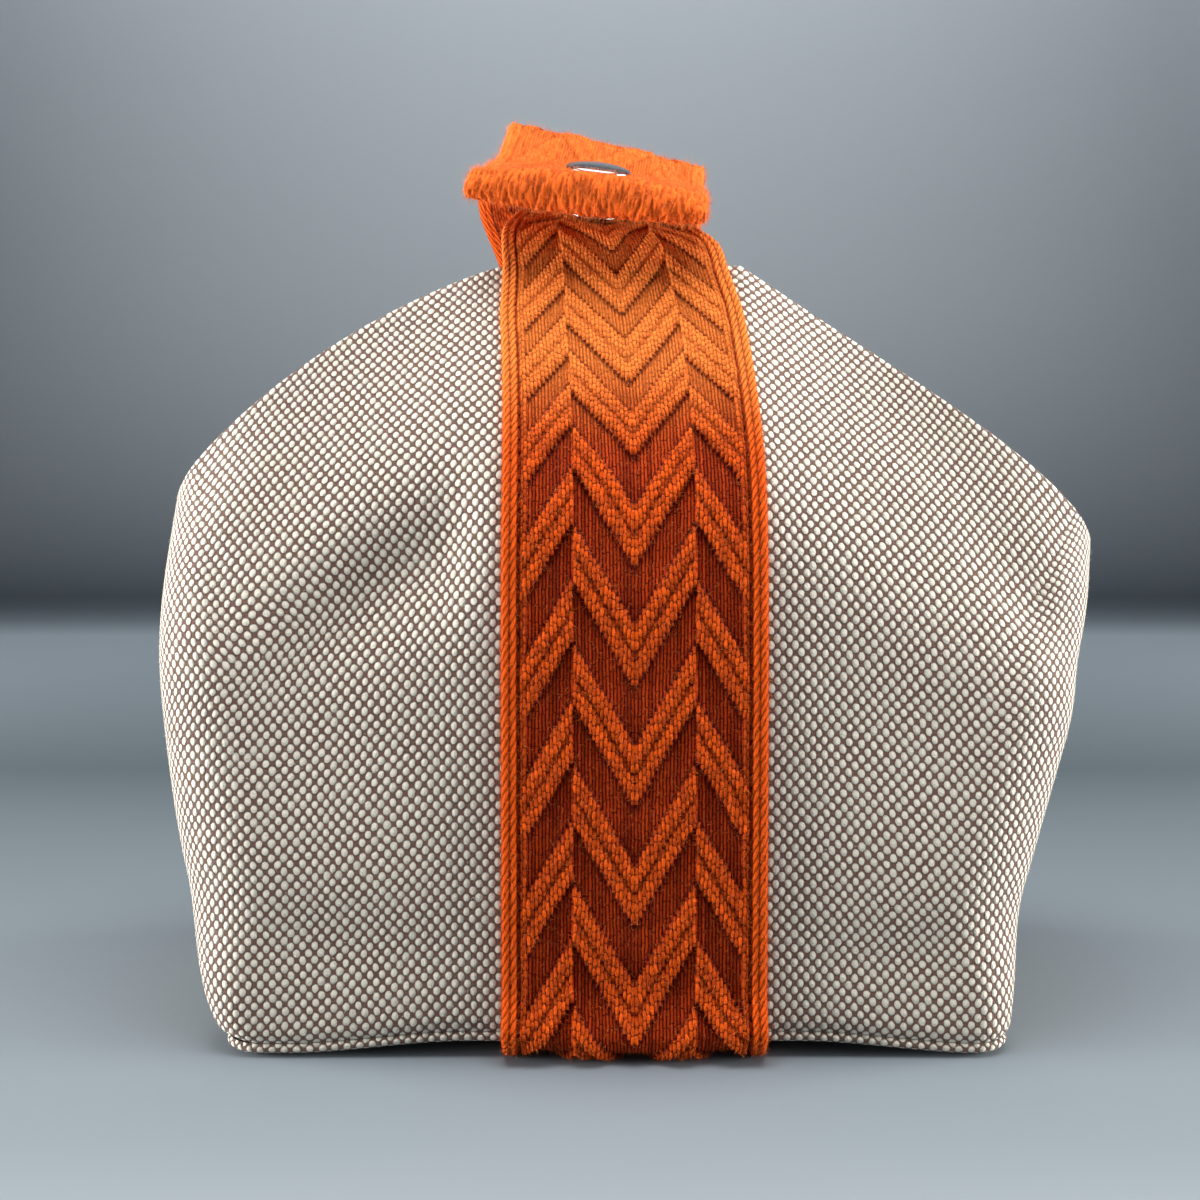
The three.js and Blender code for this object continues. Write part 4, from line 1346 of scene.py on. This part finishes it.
# Round the lip the webbing is worn flat and streaked, and painted darker, painted shade on the roll's
# front and underside.
lip_wear_and_shade = 1 - smooth(np.abs(strap.along - lip_along), LIP_HALF, LIP_HALF + LIP_FADE)
strap.soft = FLAP_SOFT * flap_worn + (1 - FLAP_SOFT) * lip_wear_and_shade
gather_place = strap_on_wall(np.array([share_of(GATHER_HEIGHT)]))[0]
to_gather = strap.along[strap.row_near(gather_place)] - strap.along
strap.weave = strap.along - GATHER * (to_gather + np.hypot(to_gather, GATHER_SOFTNESS)) / 2
# Above the gather the cords spread and fill, and the webbing is painted lighter and paler there, a
# painted top light.
strap.nap = smooth(to_gather, UPPER_ZONE_FROM, UPPER_ZONE_FULL)

# The strap is cut into pieces under the base and where it stands free above the back wall
UNDER_EDGE = 38
FREE_HEIGHT = 182
FREE_BEHIND = 25
RELIEF_RAMP = 15
FLAP_RELIEF = 0.5
FREE_BARE = 0.84
row_front = strap.row_near(vec(0, -UNDER_EDGE, 0))
row_back = strap.row_near(vec(0, UNDER_EDGE, 0))
free_rows = np.where((strap.points[:, 2] > FREE_HEIGHT) & (strap.points[:, 1] > FREE_BEHIND))[0]
row_free = int(free_rows[0])
free_along = strap.along[row_free]
strap.relief = mix(1, FLAP_RELIEF, smooth(strap.along, free_along, free_along + RELIEF_RAMP))
strap.bare = FREE_BARE * (strap.along >= free_along) * (1 - smooth(strap.soft, 0, FLAP_SOFT))

# One ring round the strap's section: the outer face, a side, the under face and the other side
FACE_COLUMNS = 171
FACE_INSET = 0.45
UNDER_COLUMNS = 13
UNDER_INSET = 0.6
SELVEDGE = 0.7
half_width = STRAP_WIDTH / 2
face_across = np.linspace(-half_width + FACE_INSET, half_width - FACE_INSET, FACE_COLUMNS)
under_across = np.linspace(half_width - UNDER_INSET, -half_width + UNDER_INSET, UNDER_COLUMNS)
side_depth = np.array([-SELVEDGE, SELVEDGE - STRAP_THICKNESS])
ring_across = np.concatenate([face_across, [half_width] * 2, under_across, [-half_width] * 2])
ring_depth = np.concatenate([np.zeros(FACE_COLUMNS), side_depth,
                             np.full(UNDER_COLUMNS, -STRAP_THICKNESS), side_depth[::-1]])
ring_relief = np.concatenate([np.ones(FACE_COLUMNS), np.zeros(len(ring_across) - FACE_COLUMNS)])
relief = relief_group()


def webbing(name, first, last):
    """A length of the strap between two rows of its route"""
    rows = slice(first, last + 1)
    share = ring_across / half_width
    beside = strap.widths[rows][:, None, :] * (ring_across * strap.narrow[rows][:, None])[..., None]
    outward = strap.outward[rows][:, None, :] * ring_depth[:, None]
    droop = strap.droop[rows][:, None, :] * (share ** 2)[:, None]
    place = strap.points[rows][:, None, :] + beside + outward + droop
    tall, wide = place.shape[:2]
    index = np.arange(tall * wide).reshape(tall, wide)
    after = np.roll(index, -1, axis=1)
    sides = np.stack([index[:-1], after[:-1], after[1:], index[1:]], -1).reshape(-1, 4).tolist()
    caps = [index[0].tolist(), index[-1][::-1].tolist()]
    values = {"along": np.repeat(strap.weave[rows], wide), "across": np.tile(ring_across, tall),
              "soft": np.repeat(strap.soft[rows], wide), "nap": np.repeat(strap.nap[rows], wide),
              "relief": np.outer(strap.relief[rows], ring_relief).ravel(),
              "bare": np.repeat(strap.bare[rows], wide)}
    made = piece_of(name, place.reshape(-1, 3), sides + caps, webbing_orange, values)
    through(made, relief, {"Cord rise": CORD_RISE * MM, "Finish": webbing_orange})
    return made


front_webbing = webbing("front_webbing", 0, row_front)
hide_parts("front_strap")
under_webbing = webbing("under_webbing", row_front, row_back)
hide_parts("base_strap")
back_webbing = webbing("back_webbing", row_back, row_free)
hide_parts("back_strap")
flap_webbing = webbing("flap_webbing", row_free, len(strap.points) - 1)
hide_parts("flap_strap")


# Stitches in the strap's two grooves

stitches = stitch_group()
STITCH_PITCH = 3.1
STITCH_LENGTH = 2.5
STITCH_THICKNESS = 0.55
STITCH_DEPTH = 0.95
STITCH_ROW_STEP = 3


def stitch_row(name, first, last):
    """Stitches in both grooves between two rows of the route"""
    rows = slice(first, last + 1, STITCH_ROW_STEP)
    share = (GROOVE_LINE / half_width) ** 2
    sunk = strap.outward[rows] * STITCH_DEPTH
    points = []
    edges = []
    for side in (-1, 1):
        beside = strap.widths[rows] * (side * GROOVE_LINE * strap.narrow[rows])[:, None]
        line = strap.points[rows] + beside - sunk + strap.droop[rows] * share
        start = sum(len(part) for part in points)
        points.append(line)
        edges += [(start + i, start + i + 1) for i in range(len(line) - 1)]
    mesh = bpy.data.meshes.new(name)
    mesh.from_pydata((np.concatenate(points) * MM).tolist(), edges, [])
    made = set_down(name, mesh)
    through(made, stitches, {"Pitch": STITCH_PITCH * MM, "Length": STITCH_LENGTH * MM,
                             "Thickness": STITCH_THICKNESS * MM, "Finish": thread})
    shade_smooth(made.data)
    return made


front_stitches = stitch_row("front_stitches", 0, row_front)
back_stitches = stitch_row("back_stitches", row_back, row_free)
flap_stitches = stitch_row("flap_stitches", row_free, len(strap.points) - 1)


# Loose fibres on the strap and the canvas

fibres = fibre_group()
FIBRE_RADIUS = 0.045
STRAP_FIBRE_SEED = 11
CANVAS_FIBRE_SEED = 31
CANVAS_FIBRE_DENSITY = 90000
CANVAS_FIBRE_LENGTH = 0.9

# Piece, fibres to the square metre and their length
STRAP_FIBRES = [
    (front_webbing, 1100000, 1.5),
    (back_webbing, 300000, 1.5),
    (flap_webbing, 1900000, 2.2),
]


def fibres_on(piece, density, length, seed, material):
    """Loose fibres all over a piece"""
    made = set_down(piece.name + "_fibres", piece.data.copy())
    through(made, fibres, {"Density": density, "Length": length * MM, "Radius": FIBRE_RADIUS * MM,
                           "Seed": seed, "Finish": material})
    return made


strap_fibres = [fibres_on(piece, density, length, STRAP_FIBRE_SEED, orange_fibre)
                for piece, density, length in STRAP_FIBRES]

# The strap's pieces are baked where they lie, and the length under the base goes with the base
FOLD_SPAN = vec(0, -8, 3)
FOLD_FROM = tuple(fold_end * MM)
FOLD_TO = tuple((fold_end + FOLD_SPAN) * MM)
for piece in (front_webbing, front_stitches, strap_fibres[0]):
    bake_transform(piece)
for piece in (back_webbing, back_stitches, strap_fibres[1]):
    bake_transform(piece)
for piece in (flap_webbing, flap_stitches, strap_fibres[2]):
    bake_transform(piece)
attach(under_webbing, "base")

for wall in ("front", "back"):
    for i, end in enumerate((LEFT, RIGHT)):
        panel = bpy.data.objects[f"{wall}_canvas_{end.name}"]
        nap = fibres_on(panel, CANVAS_FIBRE_DENSITY, CANVAS_FIBRE_LENGTH, CANVAS_FIBRE_SEED + i,
                        cream_fibre)
        follow_wall(nap)


# Snap, turned about its own axis; profiles are radius and height

POST_HOLE = POST_DIAMETER / 2 + FIT
SNAP_STEPS = 64
SHARP_ANGLE = 40
MERGE_DISTANCE = 1e-6
CAP_FLAT = 0.9
CAP_ROUND = 0.42
CAP_ROUND_INSET = 0.45
SOCKET_MOUTH_ROUND = 0.4
SOCKET_LOWER_ROUND = 0.6
SOCKET_UPPER_ROUND = 0.3
FLANGE_INSET = 0.2
FLANGE_ROUND = 0.35
NECK_FLARE = 0.2
NECK_RISE = 0.25
EYELET_ROUND = 0.4


def turned(name, profile, body, nodes, closed=False):
    """A metal piece of the snap, turned from its profile"""
    profile = np.array(profile, float)
    angle = np.linspace(0, 2 * np.pi, SNAP_STEPS, endpoint=False)
    radius, height = profile[:, 0], profile[:, 1]
    ring = np.stack([np.outer(radius, np.cos(angle)), np.outer(radius, np.sin(angle)),
                     np.repeat(height[:, None], SNAP_STEPS, 1)], -1)
    place = SNAP_PLACE + ring @ flap_axes
    index = np.arange(len(profile) * SNAP_STEPS).reshape(len(profile), SNAP_STEPS)
    after = np.roll(index, -1, axis=1)
    below = np.roll(index, -1, axis=0)
    below_after = np.roll(after, -1, axis=0)
    last = len(profile) if closed else len(profile) - 1
    faces = np.stack([index, after, below_after, below], -1)[:last].reshape(-1, 4)
    made = piece_of(name, place.reshape(-1, 3), faces, metal)
    shell = bmesh.new()
    shell.from_mesh(made.data)
    bmesh.ops.remove_doubles(shell, verts=shell.verts, dist=MERGE_DISTANCE)
    bmesh.ops.recalc_face_normals(shell, faces=shell.faces)
    shell.to_mesh(made.data)
    shell.free()
    made.data.set_sharp_from_angle(angle=math.radians(SHARP_ANGLE))
    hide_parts(nodes)
    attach(made, body)


def arc(centre_radius, centre_height, radius, start, end, count):
    """Points of a profile's rounding, between two angles"""
    angles = np.radians(np.linspace(start, end, count))
    return [(centre_radius + radius * math.cos(a), centre_height + radius * math.sin(a)) for a in angles]


def dome(radius, foot, rise, count):
    """A quarter of an ellipse from the rim in to the axis"""
    angles = np.linspace(0, np.pi / 2, count)
    rim = [(radius * math.cos(a), foot + rise * math.sin(a)) for a in angles[:-1]]
    return rim + [(0, foot + rise)]


post = POST_DIAMETER / 2
cap_radius = CAP_DIAMETER / 2
cap_foot = SOCKET_TOP - SOCKET_PLATE + FIT
turned("plain_cap",
       [(0, cap_foot), (post, cap_foot), (post, FIT), (cap_radius - CAP_FLAT, FIT)]
       + arc(cap_radius - CAP_ROUND_INSET, FIT + CAP_ROUND, CAP_ROUND, -90, 0, 6)
       + dome(cap_radius, FIT + CAP_RIM, CAP_HEIGHT - CAP_RIM, 18)[1:],
       "flap", "snap_cap")

recess = STUD_HEAD_DIAMETER / 2 + STUD_CLEARANCE
groove_deep = recess + SPRING_WIRE + FIT
groove_top = SOCKET_TOP - SOCKET_PLATE
groove_low = groove_top - SPRING_WIRE - 2 * FIT
socket_radius = SOCKET_DIAMETER / 2
mouth_centre = recess + SOCKET_MOUTH_ROUND
lower_centre = socket_radius - SOCKET_LOWER_ROUND
upper_centre = socket_radius - SOCKET_UPPER_ROUND
turned("snap_ring",
       [(POST_HOLE, groove_top), (groove_deep, groove_top),
        (groove_deep, groove_low), (recess, groove_low)]
       + arc(mouth_centre, SOCKET_BOTTOM + SOCKET_MOUTH_ROUND, SOCKET_MOUTH_ROUND, 180, 270, 6)
       + arc(lower_centre, SOCKET_BOTTOM + SOCKET_LOWER_ROUND, SOCKET_LOWER_ROUND, -90, 0, 6)
       + arc(upper_centre, SOCKET_TOP - SOCKET_UPPER_ROUND, SOCKET_UPPER_ROUND, 0, 90, 4)
       + [(POST_HOLE, SOCKET_TOP)],
       "flap", "snap_socket", closed=True)

wire = SPRING_WIRE / 2
spring_radius = recess + wire + FIT / 3
spring_height = SOCKET_TOP - SOCKET_PLATE - FIT - wire
turned("spring_wire", arc(spring_radius, spring_height, wire, 0, 330, 12), "flap", "socket_spring",
       closed=True)

stud_head = STUD_HEAD_DIAMETER / 2
stud_neck = STUD_NECK_DIAMETER / 2
stud_rise = STUD_HEIGHT / 2
flange = STUD_FLANGE_DIAMETER / 2
turned("snap_post",
       [(0, STUD_TOP + FIT), (POST_HOLE, STUD_TOP + FIT), (POST_HOLE, TAB_TOP + FIT),
        (flange - FLANGE_INSET, TAB_TOP + FIT)]
       + arc(flange - FLANGE_ROUND, STUD_TOP - FLANGE_ROUND, FLANGE_ROUND, 0, 90, 5)
       + [(stud_neck + NECK_FLARE, STUD_TOP), (stud_neck, STUD_TOP + NECK_RISE)]
       + dome(stud_head, STUD_TOP + stud_rise, stud_rise, 12),
       "front_wall", "snap_stud")

eyelet_radius = EYELET_DIAMETER / 2
eyelet_top = TAB_UNDERSIDE - FIT
turned("eyelet_disc",
       [(0, eyelet_top - EYELET_THICKNESS)]
       + arc(eyelet_radius - EYELET_ROUND, eyelet_top - EYELET_ROUND, EYELET_ROUND, -90, 0, 6)
       + [(eyelet_radius, eyelet_top), (post, eyelet_top), (post, STUD_TOP), (0, STUD_TOP)],
       "front_wall", "stud_eyelet")


# Floor and backdrop in one sweep, light and camera; lengths here are metres

SWEEP_HALF_WIDTH = 9.0
SWEEP_FRONT = -6.0
SWEEP_FLAT = 0.4
SWEEP_BEND = 1.5
SWEEP_RADIUS = 0.7
SWEEP_TOP = 2.6
SWEEP_TURNS = 24
PAPER_START = 0.6
PAPER_LENGTH = 4

# Painted light and shade on the paper, from the front of the floor to the top of the backdrop: the floor
# darkens towards the back, a lighter band lies near the foot of the backdrop, a painted shadow band at
# its foot, and the backdrop grows lighter towards its top
PAPER_PAINTED_LIGHT = [
    (0.06, colour(204, 209, 216)),
    (0.13, colour(122, 132, 140)),
    (0.22, colour(70, 82, 90)),
    (0.41, colour(156, 169, 180)),
    (0.47, colour(116, 128, 137)),
    (0.56, colour(70, 80, 88)),
    (0.98, colour(200, 208, 215)),
]


def sweep():
    """A paper floor that bends up into the backdrop"""
    turn = np.linspace(0, np.pi / 2, SWEEP_TURNS)
    profile = [(SWEEP_FRONT, 0.0), (-SWEEP_FLAT, 0.0), (SWEEP_FLAT, 0.0)]
    profile += [(SWEEP_BEND + SWEEP_RADIUS * math.sin(a), SWEEP_RADIUS * (1 - math.cos(a))) for a in turn]
    profile += [(SWEEP_BEND + SWEEP_RADIUS, SWEEP_TOP)]
    points = [(x / MM, y / MM, z / MM) for y, z in profile
              for x in (-SWEEP_HALF_WIDTH, SWEEP_HALF_WIDTH)]
    faces = [(2 * i, 2 * i + 1, 2 * i + 3, 2 * i + 2) for i in range(len(profile) - 1)]

    def made(nodes):
        depth = nodes.add("ShaderNodeSeparateXYZ", (), {"Vector": nodes.object_place()}, "Y")
        share = (depth + nodes.other(depth, "Z") + PAPER_START) / PAPER_LENGTH
        ramp = nodes.add("ShaderNodeValToRGB", {"stops": PAPER_PAINTED_LIGHT}, {"Fac": share})
        return {"Base Color": ramp}

    return piece_of("studio_sweep", points, faces, finish("studio_paper", {"Roughness": 0.85}, made))


sweep()


def soft_light(name, place, aim, size, power, tint):
    """A lamp with a wide face, aimed at a place"""
    lamp = bpy.data.lights.new(name, "AREA")
    lamp.shape = "RECTANGLE"
    lamp.size, lamp.size_y = size
    lamp.energy = power
    lamp.color = tint
    made = set_down(name, lamp)
    to_aim = Matrix.Translation(aim).translation - Matrix.Translation(place).translation
    made.location = place
    made.rotation_euler = to_aim.to_track_quat("-Z", "Y").to_euler()


WARM_WHITE = (1.0, 0.99, 0.97)
COOL_WHITE = (0.98, 0.99, 1.0)
soft_light("top_light", (0.0, -0.1, 0.62), (0.0, -0.02, 0.1), (0.46, 0.3), 4.4, WARM_WHITE)
soft_light("left_light", (-1.15, -0.03, 0.18), (0.0, 0.0, 0.06), (0.8, 0.35), 34, WARM_WHITE)
soft_light("right_light", (1.15, 0.0, 0.19), (0.0, 0.0, 0.06), (0.8, 0.38), 32, WARM_WHITE)
soft_light("backdrop_light", (0.0, 1.1, 2.0), (0.0, 2.2, 1.2), (2.4, 0.4), 10, COOL_WHITE)

AIR_TINT = colour(200, 206, 212)
AIR_STRENGTH = 0.16
world = bpy.data.worlds.new("studio_air")
world.use_nodes = True
air = world.node_tree.nodes["Background"]
air.inputs["Color"].default_value = AIR_TINT
air.inputs["Strength"].default_value = AIR_STRENGTH
bpy.context.scene.world = world
bpy.context.scene.view_settings.view_transform = "Standard"

SENSOR_WIDTH = 36
FOCAL_LENGTH = 39
CAMERA_PLACE = (-0.007, -0.3105, 0.1083)
CAMERA_TILT = 87
lens = bpy.data.cameras.new("camera")
lens.sensor_width = SENSOR_WIDTH
lens.lens = FOCAL_LENGTH
camera = set_down("camera", lens)
camera.location = CAMERA_PLACE
camera.rotation_euler = (math.radians(CAMERA_TILT), 0, 0)
bpy.context.scene.camera = camera
